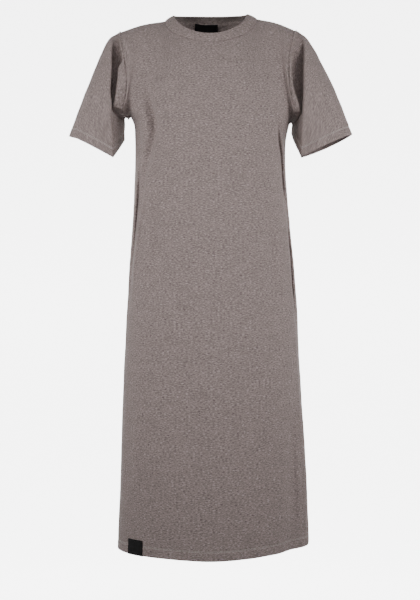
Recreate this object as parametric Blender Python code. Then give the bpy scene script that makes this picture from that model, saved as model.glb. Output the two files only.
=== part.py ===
"""A short-sleeved midi dress in heather jersey, filled out as it is worn, with nobody in it.

The wearer faces -Y and stands along +Z. The origin is midway between the two neck points of the shoulder
seams, where the dress is held up. Lengths below are millimetres, and the objects are made in metres.

Every panel is a wall round a middle surface. The body's surface is a stack of sections up to the underarm,
and above it a set of lines up to the armholes, shoulders and neck. Each sleeve is drawn over loops from its
armhole to its hem, and the loops between them hold its folds. A seam's two panels share the points and the
wall's direction.
"""

from collections import namedtuple

import bpy
import numpy as np

MM = 0.001
FRONT = -1
BACK = 1

# Cloth
WALL = 1.6
HEM_LAYER = 1.3
HEM_DEPTH = 21.0
HEM_STEP = 2.0
SEAM_GAP = 0.36
BAND_WALL = 2.6
TRIM_WALL = 0.8

# How finely the solids are drawn
ACROSS = 32
LOWER_ROWS = 13
UPPER_ROWS = 16
BAND_ROWS = 4

# The body's sections. right and left are half widths towards -X and +X, front and back are depths from the
# side seams, and round_front and round_back are 2 for an ellipse and more for a squarer section.
Section = namedtuple("Section", "name height right left front back round_front round_back")
UNDERARM_HEIGHT = -211.0
UNDERARM_TILT = -6.5
HEM_HEIGHT = -1122.0
HEM_TILT = 7.0
HEM_LIFT = 6.0
SECTIONS = [
    Section("hem", HEM_HEIGHT, 197, 211, 160, 150, 1.80, 2.0),
    Section("calf", -990, 192, 207, 157, 146, 1.86, 2.0),
    Section("knee", -860, 188, 199, 153, 142, 1.94, 2.0),
    Section("thigh", -730, 183, 191, 147, 136, 2.02, 2.1),
    Section("hip", -600, 176, 185, 140, 129, 2.08, 2.1),
    Section("belly", -500, 170, 176, 136, 119, 2.12, 2.1),
    Section("waist", -400, 163, 167, 133, 110, 2.16, 2.2),
    Section("ribs", -300, 160, 161, 131, 108, 2.20, 2.2),
    Section("bust", -255, 160, 163, 129, 110, 2.20, 2.2),
    Section("underarm", -226, 162, 169, 127, 110, 2.20, 2.2),
    Section("armhole", -204, 171, 174, 124, 110, 2.20, 2.2),
]

# Shoulders: where each seam starts at the neck and ends at the armhole, right (-X) and left (+X)
Shoulder = namedtuple("Shoulder", "neck_x neck_z tip_x tip_z")
SHOULDERS = {-1: Shoulder(97, 1, 192, -23), 1: Shoulder(101, 6, 184, -20)}
SHOULDER_RISE = 4.0
NECK_RISE = 11.0
SEAM_Y_AT_NECK = 12.0
SEAM_Y_AT_TIP = 8.0
NECK_SHARE = 0.5

# The neck seam and the band's upper edge: half widths and heights at the sides, (y, z) at the centre lines
Loop = namedtuple("Loop", "right left side_y right_z left_z front back dip")
NECK_SEAM = Loop(97, 101, SEAM_Y_AT_NECK, 1, 6, (-79, -66), (76, 13), 1.1)
NECK_EDGE = Loop(78, 80, 14, 14, 17, (-66, -45), (58, 24), 1.2)
BAND_CROWN = 1.2

# The lines from the underarm section up to the shoulders are cubic curves. Each row gives, for a share of the
# way from the centre line to the armhole, the handles below the upper end and above the lower end, as
# (outward, y, z). Lines near the centre aim at a point over the neck, and the neck seam cuts them off.
Line = namedtuple("Line", "name share upper lower")
LINES = {
    FRONT: [
        Line("centre", 0.00, (0, -62, -2), (0, -3, 70)),
        Line("neck", 0.25, (1, -58, -10), (-2, -3, 72)),
        Line("neck side", 0.50, (3, -48, -34), (-4, 4, 80)),
        Line("shoulder", 0.75, (3, -56, -24), (-2, 4, 78)),
        Line("armhole", 1.00, (4, -62, -16), (-2, -8, 60)),
    ],
    BACK: [
        Line("centre", 0.00, (0, 96, 70), (0, 4, 90)),
        Line("neck", 0.30, (1, 86, 66), (-2, 4, 84)),
        Line("neck side", 0.50, (2, 62, 14), (-3, 2, 80)),
        Line("shoulder", 0.75, (3, 58, -22), (-2, 2, 78)),
        Line("armhole", 1.00, (4, 62, -16), (-2, 8, 60)),
    ],
}
ARMHOLE_REACH = 0.30

# Soft folds of the body. A fold runs from one height and angle round the body to another, with its width in
# degrees; angles go from -90 at the wearer's right side seam to 90 at the left. Depth is inward, so a ridge
# is negative.
Fold = namedtuple("Fold", "panel top_z top_angle low_z low_angle width depth")
FOLDS = [
    Fold(FRONT, -175, -76, -350, -66, 8, 6),
    Fold(FRONT, -300, -68, -600, -64, 9, -4),
    Fold(FRONT, -400, -38, -640, -35, 10, 4),
    Fold(FRONT, -215, 58, -340, 56, 7, 6),
    Fold(FRONT, -420, 41, -680, 44, 11, 4),
    Fold(FRONT, -820, 60, -1122, 55, 7, 5),
    Fold(FRONT, -780, 72, -1122, 70, 9, -5),
    Fold(FRONT, -600, -14, -1122, -18, 16, 3),
    Fold(BACK, -150, -64, -340, -54, 9, 7),
    Fold(BACK, -150, 62, -360, 52, 9, 6),
    Fold(BACK, -330, -30, -640, -26, 12, 6),
    Fold(BACK, -340, 24, -700, 30, 12, 5),
    Fold(BACK, -520, 4, -1122, 8, 14, 5),
    Fold(BACK, -640, -46, -1122, -44, 13, 5),
    Fold(BACK, -700, 50, -1122, 47, 12, 6),
]
FOLD_FADE = 90.0

# Each sleeve is drawn over loops round the arm, from the armhole seam to the hem. A loop's front and back
# halves leave its top with the handles high and low, reach a corner low down beside the body, and turn under
# the arm. Points are (outward, y, z), and steps is the number of rings up to that loop.
CORNER_SHARE = 0.75
Half = namedtuple("Half", "high low corner turn")
Ring = namedtuple("Ring", "name steps top under front back")
RIGHT_SLEEVE = [
    Ring(
        "armhole seam", 0, (192, 8, -23), (171, 0, -204.5),
        Half((191, -62, -62), (160, -62, -140), (184, -44, -200), (182, -22, -211)),
        Half((190, 62, -58), (168, 74, -150), (179, 47, -196), (180, 33, -211)),
    ),
    Ring(
        "near the body", 2, (197, 8, -25), (181, 5, -205),
        Half((184, -38, -68), (186, -57, -125), (203, -51, -194), (198, -26, -206)),
        Half((193, 50, -60), (184, 66, -140), (195, 49, -190), (193, 34, -207)),
    ),
    Ring(
        "valley", 2, (204, 8, -29), (184, 8, -211),
        Half((204, -26, -50), (205, -19, -140), (207, -39, -199), (200, -18, -212)),
        Half((205, 44, -46), (203, 34, -140), (202, 38, -196), (196, 22, -209)),
    ),
    Ring(
        "ridge", 2, (217, 8, -38), (184, 9, -219),
        Half((208, -40, -80), (204, -60, -138), (207, -57, -204), (197, -30, -222)),
        Half((215, 48, -68), (206, 66, -135), (202, 56, -202), (194, 32, -216)),
    ),
    Ring(
        "middle", 3, (263, 6, -141), (184, 10, -237),
        Half((260, -45, -152), (240, -66, -190), (205, -57, -252), (195, -30, -254)),
        Half((261, 50, -146), (240, 72, -176), (200, 56, -230), (192, 34, -240)),
    ),
    Ring(
        "hem", 3, (303, 4, -248), (184, 10, -255),
        Half((292, -45, -253), (258, -64, -272), (203, -52, -301), (196, -26, -284)),
        Half((296, 50, -246), (250, 70, -248), (198, 52, -259), (190, 32, -259)),
    ),
]
LEFT_SLEEVE = [
    Ring(
        "armhole seam", 0, (184, 8, -20), (171.5, 0, -217.5),
        Half((166, -58, -54), (156, -66, -140), (177, -48, -204), (177, -24, -219)),
        Half((182, 62, -58), (162, 74, -150), (173, 47, -205), (175, 33, -220)),
    ),
    Ring(
        "near the body", 2, (189, 8, -22), (176, 6, -218),
        Half((167, -42, -62), (167, -62, -124), (188, -52, -203), (186, -28, -218)),
        Half((186, 50, -60), (176, 66, -145), (186, 49, -200), (185, 34, -218)),
    ),
    Ring(
        "valley", 2, (195, 8, -26), (177, 9, -222),
        Half((197, -24, -47), (200, -10, -130), (193, -38, -207), (187, -16, -221)),
        Half((197, 44, -44), (196, 34, -142), (191, 38, -204), (187, 22, -219)),
    ),
    Ring(
        "ridge", 2, (209, 8, -37), (177, 10, -227),
        Half((202, -40, -76), (196, -60, -132), (195, -58, -208), (187, -30, -228)),
        Half((207, 48, -68), (198, 66, -140), (194, 56, -206), (187, 32, -223)),
    ),
    Ring(
        "middle", 3, (266, 6, -143), (177, 12, -234),
        Half((259, -45, -154), (235, -66, -190), (193, -58, -252), (184, -30, -250)),
        Half((262, 50, -150), (238, 70, -190), (196, 54, -246), (188, 32, -242)),
    ),
    Ring(
        "hem", 3, (306, 4, -244), (176, 13, -241),
        Half((292, -45, -251), (254, -64, -270), (192, -52, -299), (181, -30, -275)),
        Half((301, 36, -247), (250, 62, -272), (200, 40, -289), (188, 30, -265)),
    ),
]
SLEEVES = {-1: RIGHT_SLEEVE, 1: LEFT_SLEEVE}

# The hem label is folded over the front hem, and the neck tape and its label lie inside the back
TRIM_GAP = 0.5
NECK_TAPE_GAP = 1.1
HEM_LABEL_WIDTH = 45.0
HEM_LABEL_HEIGHT = 31.0
HEM_LABEL_RETURN = 14.0
HEM_LABEL_ANGLE = -53.0
NECK_TAPE_WIDTH = 9.0
NECK_TAPE_END = 0.46
NECK_LABEL_WIDTH = 50.0
NECK_LABEL_HEIGHT = 28.0
NECK_LABEL_X = -8.0

# Colour and roughness of the cloth pieces
Look = namedtuple("Look", "colour roughness")
JERSEY_LOOK = Look((0.22, 0.19, 0.175), 0.95)
RIB_LOOK = Look((0.21, 0.18, 0.165), 0.95)
TAPE_LOOK = Look((0.22, 0.19, 0.175), 0.95)
LABEL_LOOK = Look((0.012, 0.011, 0.012), 0.6)


def smooth(knots, values, at):
    """A smooth curve through values at rising knots, read at any places."""
    knots = np.asarray(knots, float)
    values = np.asarray(values, float)
    slopes = np.gradient(values, knots)
    i = np.clip(np.searchsorted(knots, at) - 1, 0, len(knots) - 2)
    span = knots[i + 1] - knots[i]
    t = (at - knots[i]) / span
    rise = t * t * (3 - 2 * t)
    leave = t * (1 - t) ** 2 * span * slopes[i]
    arrive = t * t * (t - 1) * span * slopes[i + 1]
    return values[i] * (1 - rise) + values[i + 1] * rise + leave + arrive


def cubic(start, first, second, end, t):
    """A cubic curve from start to end with two handles, for arrays of points."""
    t = t[..., None]
    s = 1 - t
    return start * s**3 + 3 * first * t * s**2 + 3 * second * t**2 * s + end * t**3


def unit(vectors):
    length = np.linalg.norm(vectors, axis=-1, keepdims=True)
    return vectors / np.maximum(length, 1e-12)


def section_size(name, height):
    return smooth([s.height for s in SECTIONS], [getattr(s, name) for s in SECTIONS], height)


def section_point(panel, u, height):
    """A point of the body below the underarm: u is -1 at the right side seam and 1 at the left one."""
    angle = u * np.pi / 2
    half = np.where(u < 0, section_size("right", height), section_size("left", height))
    depth = section_size("front" if panel == FRONT else "back", height)
    power = 2 / section_size("round_front" if panel == FRONT else "round_back", height)
    # The section turns into a plain ellipse at the side seams, so that front and back meet smoothly there
    side = np.abs(u) ** 3
    power = power * (1 - side) + side
    x = half * np.sign(u) * np.abs(np.sin(angle)) ** power
    y = panel * depth * np.abs(np.cos(angle)) ** power
    return np.stack([x, y, height + 0 * u], axis=-1)


def loop_point(loop, panel, share):
    """A point of the neck seam or the band's edge: share is -1 at the right shoulder and 1 at the left."""
    angle = share * np.pi / 2
    half = np.where(share < 0, loop.right, loop.left)
    middle_y, middle_z = loop.front if panel == FRONT else loop.back
    side_z = (loop.right_z + loop.left_z) / 2 + (loop.left_z - loop.right_z) / 2 * np.sin(angle)
    across = np.abs(np.cos(angle))
    y = loop.side_y + (middle_y - loop.side_y) * across
    z = side_z + (middle_z - side_z) * across**loop.dip
    return np.stack([half * np.sin(angle), y, z], axis=-1)


def top_point(u):
    """A point of the shoulder seams, carried on over the neck between them."""
    along = np.clip((np.abs(u) - NECK_SHARE) / (1 - NECK_SHARE), 0, 1)
    over = np.clip(np.abs(u) / NECK_SHARE, 0, 1)
    right, left = (np.array(SHOULDERS[side], float) for side in (-1, 1))
    neck_x, neck_z, tip_x, tip_z = (np.where(u < 0, r, l) for r, l in zip(right, left))
    mean_z = (right[1] + left[1]) / 2
    x = np.sign(u) * (neck_x * over + (tip_x - neck_x) * along)
    y = SEAM_Y_AT_NECK + (SEAM_Y_AT_TIP - SEAM_Y_AT_NECK) * along
    z = mean_z + (neck_z - mean_z) * over + NECK_RISE * (1 - over**2)
    z = z + (tip_z - neck_z) * along + SHOULDER_RISE * np.sin(np.pi * along)
    return np.stack([x, y, z], axis=-1)


def line_handle(panel, u, end):
    """The handle of the line at u, at its upper or lower end, in body axes."""
    rows = LINES[panel]
    shares = [r.share for r in rows]
    parts = [smooth(shares, [getattr(r, end)[k] for r in rows], np.abs(u)) for k in range(3)]
    parts[0] = parts[0] * np.sign(u)
    return np.stack(parts, axis=-1)


def half_loop(ring, panel, share):
    """The front or back half of a sleeve's loop, as (outward, y, z): 0 is its top and 1 the underarm."""
    half = ring.front if panel == FRONT else ring.back
    top, under, high, low, corner, turn = (np.array(p, float) for p in (ring.top, ring.under, *half))
    down = np.clip(share / CORNER_SHARE, 0, 1)
    beneath = np.clip((share - CORNER_SHARE) / (1 - CORNER_SHARE), 0, 1)[..., None]
    fall = cubic(top, high, low, corner, down)
    tuck = corner * (1 - beneath) ** 2 + 2 * turn * beneath * (1 - beneath) + under * beneath**2
    return np.where((share > CORNER_SHARE)[..., None], tuck, fall)


def armhole_point(side, panel, share):
    return half_loop(SLEEVES[side][0], panel, share) * np.array([side, 1, 1])


def base_line(panel, u, w):
    foot = section_point(panel, u, underarm_height(u))
    head = top_point(u)
    above_foot = foot + line_handle(panel, u, "lower")
    below_head = head + line_handle(panel, u, "upper")
    return cubic(foot, above_foot, below_head, head, w)


def underarm_height(u):
    return UNDERARM_HEIGHT + UNDERARM_TILT * np.sin(u * np.pi / 2)


def fold_depth(panel, u, height):
    """How far the cloth is pressed in at a place, by all the folds of that panel."""
    angle = u * 90
    total = 0 * angle
    for fold in (f for f in FOLDS if f.panel == panel):
        along = (fold.top_z - height) / (fold.top_z - fold.low_z)
        middle = fold.top_angle + (fold.low_angle - fold.top_angle) * along
        bell = np.exp(-(((angle - middle) / fold.width) ** 2))
        fade_in = np.clip((fold.top_z - height) / FOLD_FADE, 0, 1)
        fade_out = 1.0 if fold.low_z <= HEM_HEIGHT else np.clip((height - fold.low_z) / FOLD_FADE, 0, 1)
        ends = fade_in * fade_out
        total = total + fold.depth * bell * ends * ends * (3 - 2 * ends)
    return total


def body_point(panel, u, v):
    """A point of the body's middle surface: v is 0 at the hem, 1 at the underarm and 2 at the shoulders."""
    u, v = np.broadcast_arrays(np.asarray(u, float), np.asarray(v, float))
    rise = np.clip(v, 0, 1)
    w = np.clip(v - 1, 0, 1)
    swing = np.sin(u * np.pi / 2)
    hem_shape = HEM_TILT * (0.3 * swing + 0.7 * swing**3) + HEM_LIFT * swing**2 * (1 - swing**2)
    tilt = hem_shape * (1 - rise) ** 2 + UNDERARM_TILT * swing * rise**4
    height = HEM_HEIGHT + (UNDERARM_HEIGHT - HEM_HEIGHT) * rise + tilt
    low = section_point(panel, u, height)
    high = base_line(panel, u, w)
    near = np.clip((np.abs(u) - 1 + ARMHOLE_REACH) / ARMHOLE_REACH, 0, 1)
    near = (near * near * (3 - 2 * near))[..., None]
    for side in (-1, 1):
        pull = armhole_point(side, panel, 1 - w) - base_line(panel, side + 0 * u, w)
        high = high + np.where((u * side > 0)[..., None], pull * near, 0)
    point = np.where((v > 1)[..., None], high, low)
    inward = np.stack([-swing, -panel * np.cos(u * np.pi / 2), 0 * u], axis=-1)
    side_fade = np.clip((1 - np.abs(u)) * 6, 0, 1)
    return point + inward * (fold_depth(panel, u, point[..., 2]) * side_fade)[..., None]


def body_normal(panel, u, v, step=0.004):
    """The outward direction of the body's surface."""
    u, v = np.broadcast_arrays(np.asarray(u, float), np.asarray(v, float))
    floor = np.where(v > 1, 1.0, 0.0)
    u0, u1 = np.clip(u - step, -1, 1), np.clip(u + step, -1, 1)
    v0, v1 = np.clip(v - step, floor, floor + 1), np.clip(v + step, floor, floor + 1)
    across = body_point(panel, u1, v) - body_point(panel, u0, v)
    up = body_point(panel, u, v1) - body_point(panel, u, v0)
    return unit(np.cross(up, across) * panel)


def neck_cut(panel, u):
    """How far up its line the neck seam lies, for lines inside the shoulders' inner ends."""
    low, high = 0.3 + 0 * u, 1.0 + 0 * u
    for _ in range(40):
        middle = (low + high) / 2
        point = body_point(panel, u, 1 + middle)
        half = np.where(u < 0, NECK_SEAM.right, NECK_SEAM.left)
        share = np.arcsin(np.clip(point[..., 0] / half, -1, 1)) * 2 / np.pi
        seam = loop_point(NECK_SEAM, panel, share)
        above = point[..., 2] > seam[..., 2] if panel == FRONT else point[..., 1] < seam[..., 1]
        low, high = np.where(above, low, middle), np.where(above, middle, high)
    return np.where(np.abs(u) < NECK_SHARE - 1e-9, low, 1.0)


def panel_places(panel, columns, rows):
    """The places (u, v) of a panel's grid: columns from -1 to 1, rows from 0 at the hem to 2 at the top."""
    c, r = np.meshgrid(columns, rows)
    inner = np.abs(c) < NECK_SHARE
    at_top = np.where(inner, NECK_SHARE * np.sin(np.clip(c / NECK_SHARE, -1, 1) * np.pi / 2), c)
    cut = neck_cut(panel, at_top[0])
    along = np.clip(r - 1, 0, 1)
    gather = along * along * (3 - 2 * along)
    return c + (at_top - c) * gather, np.where(r > 1, 1 + along * cut, r)


def sleeve_loops(side, t):
    """The sleeve's loops at t: 0 at the top, 1 at the underarm by way of the front, 2 back at the top."""
    share = np.where(t <= 1, t, 2 - t)
    axes = np.array([side, 1, 1])
    loops = []
    for ring in SLEEVES[side]:
        front, back = half_loop(ring, FRONT, share), half_loop(ring, BACK, share)
        loops.append(np.where((t <= 1)[:, None], front, back) * axes)
    return np.array(loops)


def sleeve_grid(side, t):
    """The sleeve's middle surface as rings from the armhole to the hem."""
    loops = sleeve_loops(side, t)
    gaps = np.linalg.norm(np.diff(loops, axis=0), axis=2)
    knots = np.concatenate([np.zeros((1, len(t))), np.cumsum(np.sqrt(gaps), axis=0)])
    slopes = np.empty_like(loops)
    for j in range(len(t)):
        slopes[:, j] = np.gradient(loops[:, j], knots[:, j], axis=0)
    rings = [loops[0]]
    for k, count in enumerate(ring.steps for ring in SLEEVES[side][1:]):
        span = (knots[k + 1] - knots[k])[:, None]
        for s in np.arange(1, count + 1) / count:
            rise = s * s * (3 - 2 * s)
            leave = s * (1 - s) ** 2 * span * slopes[k]
            arrive = s * s * (s - 1) * span * slopes[k + 1]
            rings.append(loops[k] * (1 - rise) + loops[k + 1] * rise + leave + arrive)
    return np.array(rings)


def grid_normals(grid, closed, inside):
    """Outward directions of a grid of points, given one point that lies inside."""
    rows = np.gradient(grid, axis=0)
    if closed:
        columns = (np.roll(grid, -1, axis=1) - np.roll(grid, 1, axis=1)) / 2
    else:
        columns = np.gradient(grid, axis=1)
    normals = unit(np.cross(rows, columns))
    outward = np.sum(normals * (grid - np.asarray(inside)), axis=-1).mean()
    return normals if outward > 0 else -normals


def pull_back(grid, axis, index, closed):
    """Moves one edge of a grid squarely into the grid, by half of a seam's gap."""
    edge = np.take(grid, index, axis=axis)
    inward = np.take(grid, 1 if index == 0 else index - 1, axis=axis) - edge
    if closed:
        along = unit(np.roll(edge, -1, axis=0) - np.roll(edge, 1, axis=0))
    else:
        along = unit(np.gradient(edge, axis=0))
    square = inward - along * np.sum(inward * along, axis=-1, keepdims=True)
    moved = grid.copy()
    place = [slice(None)] * 3
    place[axis] = index
    moved[tuple(place)] = edge + unit(square) * SEAM_GAP / 2
    return moved


def solid(name, outer, inner, closed, look):
    """One closed wall between two grids of points, as an object."""
    rows, columns = outer.shape[:2]
    points = np.concatenate([outer.reshape(-1, 3), inner.reshape(-1, 3)]) * MM
    half = rows * columns
    faces = []
    wrap = columns if closed else columns - 1

    def at(r, c, layer):
        return layer * half + r * columns + c % columns

    def add(a, b, c, d):
        # Each face of four corners is split from its first corner to its third
        faces.append((a, b, c))
        faces.append((a, c, d))

    for r in range(rows - 1):
        for c in range(wrap):
            add(at(r, c, 0), at(r, c + 1, 0), at(r + 1, c + 1, 0), at(r + 1, c, 0))
            add(at(r + 1, c + 1, 1), at(r, c + 1, 1), at(r, c, 1), at(r + 1, c, 1))
    for c in range(wrap):
        add(at(0, c, 0), at(0, c, 1), at(0, c + 1, 1), at(0, c + 1, 0))
        add(at(rows - 1, c, 1), at(rows - 1, c, 0), at(rows - 1, c + 1, 0), at(rows - 1, c + 1, 1))
    last = columns - 1
    for r in range(0 if closed else rows - 1):
        add(at(r, 0, 1), at(r, 0, 0), at(r + 1, 0, 0), at(r + 1, 0, 1))
        add(at(r, last, 0), at(r, last, 1), at(r + 1, last, 1), at(r + 1, last, 0))
    mesh = bpy.data.meshes.new(name)
    mesh.from_pydata(points.tolist(), [], faces)
    mesh.update()
    if signed_volume(mesh) < 0:
        mesh.flip_normals()
    mesh.shade_smooth()
    mesh.set_sharp_from_angle(angle=np.radians(40))
    mesh.materials.append(material(name + "_cloth", look))
    made = bpy.data.objects.new(name, mesh)
    bpy.context.scene.collection.objects.link(made)
    return made


def signed_volume(mesh):
    mesh.calc_loop_triangles()
    total = 0.0
    for triangle in mesh.loop_triangles:
        a, b, c = (mesh.vertices[i].co for i in triangle.vertices)
        total += a.dot(b.cross(c))
    return total / 6


def material(name, look):
    made = bpy.data.materials.new(name)
    made.use_nodes = True
    shader = made.node_tree.nodes["Principled BSDF"]
    shader.inputs["Base Color"].default_value = (*look.colour, 1)
    shader.inputs["Roughness"].default_value = look.roughness
    shader.inputs["Metallic"].default_value = 0.0
    return made


def lower_rows():
    """Row places from the hem to the underarm, with close rows at the top of the turned-up hem."""
    length = UNDERARM_HEIGHT - HEM_HEIGHT
    hem = [0.0, HEM_DEPTH / length, (HEM_DEPTH + HEM_STEP) / length]
    return np.concatenate([hem, np.linspace(hem[-1], 1, LOWER_ROWS + 1)[1:]])


def panel_grid(panel):
    """The panel's middle surface and its outward directions: rows from the hem, columns from the right."""
    columns = np.linspace(-1, 1, ACROSS + 1)
    rows = np.concatenate([lower_rows(), 1 + np.linspace(0, 1, UPPER_ROWS + 1)[1:]])
    u, v = panel_places(panel, columns, rows)
    return body_point(panel, u, v), body_normal(panel, u, v)


def share_side_seams(outs):
    """Gives front and back one direction along the side seams and the shoulder seams."""
    underarm = len(lower_rows())
    columns = np.linspace(-1, 1, ACROSS + 1)
    shoulders = np.abs(columns) > NECK_SHARE - 1e-6
    for place in ((slice(0, underarm), 0), (slice(0, underarm), -1), (-1, shoulders)):
        shared = unit(outs[FRONT][place] + outs[BACK][place])
        outs[FRONT][place] = shared
        outs[BACK][place] = shared


def build_neckband(grids, outs):
    """The folded band, from the panels' neck seam up to its own edge, round by way of the front."""
    count = int(ACROSS * NECK_SHARE)
    first = int(ACROSS * (1 - NECK_SHARE) / 2)
    front = slice(first, first + count)
    back = slice(first + count, first, -1)
    share = np.linspace(-1, 1, count + 1)
    lower = np.concatenate([grids[FRONT][-1, front], grids[BACK][-1, back]])
    upper = [loop_point(NECK_EDGE, FRONT, share[:-1]), loop_point(NECK_EDGE, BACK, share[:0:-1])]
    rise = np.linspace(0, 1, BAND_ROWS + 1)[:, None, None]
    grid = lower + (np.concatenate(upper) - lower) * rise
    out = grid_normals(grid, True, grid.mean(axis=(0, 1)))
    grid = grid + out * BAND_CROWN * np.sin(np.pi * rise)
    shared = unit(out[0] + np.concatenate([outs[FRONT][-1, front], outs[BACK][-1, back]]))
    out[0] = shared
    outs[FRONT][-1, front] = shared[:count]
    outs[BACK][-1, back] = shared[count:]
    outs[FRONT][-1, first + count] = shared[count]
    outs[BACK][-1, first] = shared[0]
    grid = pull_back(grid, 0, 0, True)
    half = WALL / 2 + (BAND_WALL - WALL) / 2 * np.sin(np.pi * np.clip(rise * 1.15, 0, 1))
    solid("neckband", grid + out * half, grid - out * half, True, RIB_LOOK)


def with_hem_rings(grid):
    """Adds two rings at the top of the turned-up hem, measured along each line from the hem."""
    steps = np.linalg.norm(np.diff(grid, axis=0), axis=2)
    from_hem = np.concatenate([np.cumsum(steps[::-1], axis=0)[::-1], np.zeros((1, grid.shape[1]))])
    depth = np.minimum(HEM_DEPTH - 2, from_hem[-3] * 0.6)
    rings = []
    for distance in (depth + HEM_STEP, depth):
        ring = np.empty_like(grid[0])
        for j in range(grid.shape[1]):
            for k in range(3):
                ring[j, k] = np.interp(-distance[j], -from_hem[:, j], grid[:, j, k])
        rings.append(ring)
    keep = [i for i in range(len(grid) - 1) if (from_hem[i] > depth + 2 * HEM_STEP).all()]
    return np.array([*grid[keep], *rings, grid[-1]])


def build_sleeves(grids, outs):
    """Both sleeves. Their first ring shares its directions with the panels along the armhole."""
    t = np.arange(2 * UPPER_ROWS) / UPPER_ROWS
    for side, name in ((-1, "sleeve_right"), (1, "sleeve_left")):
        column = 0 if side == -1 else ACROSS
        grid = with_hem_rings(sleeve_grid(side, t))
        out = grid_normals(grid, True, grid.mean(axis=(0, 1)))
        for j in range(2 * UPPER_ROWS):
            panel = FRONT if j <= UPPER_ROWS else BACK
            row = -1 - min(j, 2 * UPPER_ROWS - j)
            shared = unit(out[0, j] + outs[panel][row, column])
            out[0, j] = shared
            outs[panel][row, column] = shared
            if j in (0, UPPER_ROWS):
                outs[-panel][row, column] = shared
        grid = pull_back(grid, 0, 0, True)
        inner = np.full((len(grid), 1, 1), WALL / 2)
        inner[-2:] += HEM_LAYER
        solid(name, grid + out * WALL / 2, grid - out * inner, True, JERSEY_LOOK)


def build_panels(grids, outs):
    """Front and back. Returns each one's inner and outer face, for the trims that lie on them."""
    faces = {}
    for panel, name in ((FRONT, "front"), (BACK, "back")):
        grid = grids[panel]
        for axis, index in ((1, 0), (1, grid.shape[1] - 1), (0, grid.shape[0] - 1)):
            grid = pull_back(grid, axis, index, False)
        inner = np.full((len(grid), 1, 1), WALL / 2)
        inner[:2] += HEM_LAYER
        faces[panel] = grid + outs[panel] * WALL / 2, grid - outs[panel] * inner
        solid(name, *faces[panel], False, JERSEY_LOOK)
    return faces


def on_face(face, row, column):
    """A point of a face's triangles between its rows and columns."""
    r, c = int(min(row, len(face) - 1.001)), int(min(column, face.shape[1] - 1.001))
    a, b = row - r, column - c
    first, last = face[r, c], face[r + 1, c + 1]
    if b > a:
        return first + (face[r, c + 1] - first) * b + (last - face[r, c + 1]) * a
    return first + (face[r + 1, c] - first) * a + (last - face[r + 1, c]) * b


def row_at(face, column, distance, from_top):
    """The row that lies at a distance along the face from its hem or from its top."""
    rows = np.arange(len(face))
    line = np.array([on_face(face, r, column) for r in rows])
    length = np.concatenate([[0], np.cumsum(np.linalg.norm(np.diff(line, axis=0), axis=1))])
    return np.interp(length[-1] - distance if from_top else distance, length, rows)


def column_at(face, row, x):
    """The column where the face reaches x, in one row."""
    line = np.array([on_face(face, row, c)[0] for c in range(face.shape[1])])
    return np.interp(x, line, np.arange(len(line)))


def build_neck_trims(outs, face):
    """The tape below the neck seam and the label over it, inside the back."""
    inward = -outs[BACK]
    centre = ACROSS / 2
    ends = NECK_TAPE_END * ACROSS / 2
    tape_columns = np.arange(np.ceil(centre - ends), centre + ends)
    label_half = NECK_LABEL_WIDTH / 2
    last = len(face) - 1
    sides = [column_at(face, last, NECK_LABEL_X + step) for step in (-label_half, label_half)]
    inside = [c for c in range(face.shape[1]) if sides[0] + 0.3 < c < sides[1] - 0.3]
    label_clear = NECK_TAPE_GAP + TRIM_WALL + TRIM_GAP
    label_columns = [sides[0], *inside, sides[1]]
    pieces = [
        ("neck_tape", tape_columns, (0.5, NECK_TAPE_WIDTH), 4, NECK_TAPE_GAP, TAPE_LOOK),
        ("neck_label", label_columns, (1, NECK_LABEL_HEIGHT), 6, label_clear, LABEL_LOOK),
    ]
    for name, columns, span, steps, clear, look in pieces:
        grid, out = [], []
        for distance in np.linspace(*span, steps + 1):
            places = [(row_at(face, c, distance, True), c) for c in columns]
            grid.append([on_face(face, *p) for p in places])
            out.append([on_face(inward, *p) for p in places])
        grid, out = np.array(grid), unit(np.array(out))
        solid(name, grid + out * (clear + TRIM_WALL), grid + out * clear, False, look)


def build_hem_label(outs, faces):
    """The label folded over the front hem: down the outer face, under the edge and up the inner face."""
    outer, inner = faces[FRONT]
    clear = TRIM_GAP + TRIM_WALL / 2
    places = np.arange(ACROSS + 1)
    steps = np.linalg.norm(np.diff(outer[0], axis=0), axis=1)
    along_hem = np.concatenate([[0], np.cumsum(steps)])
    middle = np.interp((HEM_LABEL_ANGLE / 90 + 1) * ACROSS / 2, places, along_hem)
    half = HEM_LABEL_WIDTH / 2
    ends = np.interp([middle - half, middle + half], along_hem, places)
    columns = [ends[0], *(c for c in places if ends[0] + 0.2 < c < ends[1] - 0.2), ends[1]]
    down = np.array([0, 0, -clear])
    grid = []
    for c in columns:
        line = {}
        for face, away, heights in (
            (outer, 1, np.linspace(HEM_LABEL_HEIGHT, 0, 6)),
            (inner, -1, np.linspace(0, HEM_LABEL_RETURN, 4)),
        ):
            rows = [row_at(face, c, height, False) for height in heights]
            shift = away * clear
            line[away] = [on_face(face, row, c) + shift * on_face(outs[FRONT], row, c) for row in rows]
        grid.append([*line[1], line[1][-1] + down, line[-1][0] + down, *line[-1]])
    grid = np.array(grid).transpose(1, 0, 2)
    half_wall = grid_normals(grid, False, grid.mean(axis=(0, 1))) * TRIM_WALL / 2
    solid("hem_label", grid + half_wall, grid - half_wall, False, LABEL_LOOK)


def main():
    for old in list(bpy.data.objects):
        bpy.data.objects.remove(old)
    grids, outs = {}, {}
    for panel in (FRONT, BACK):
        grids[panel], outs[panel] = panel_grid(panel)
    share_side_seams(outs)
    build_neckband(grids, outs)
    build_sleeves(grids, outs)
    faces = build_panels(grids, outs)
    build_neck_trims(outs, faces[BACK][1])
    build_hem_label(outs, faces)


main()
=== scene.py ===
from collections import namedtuple

import bpy
import numpy as np
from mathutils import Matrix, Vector, noise


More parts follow.
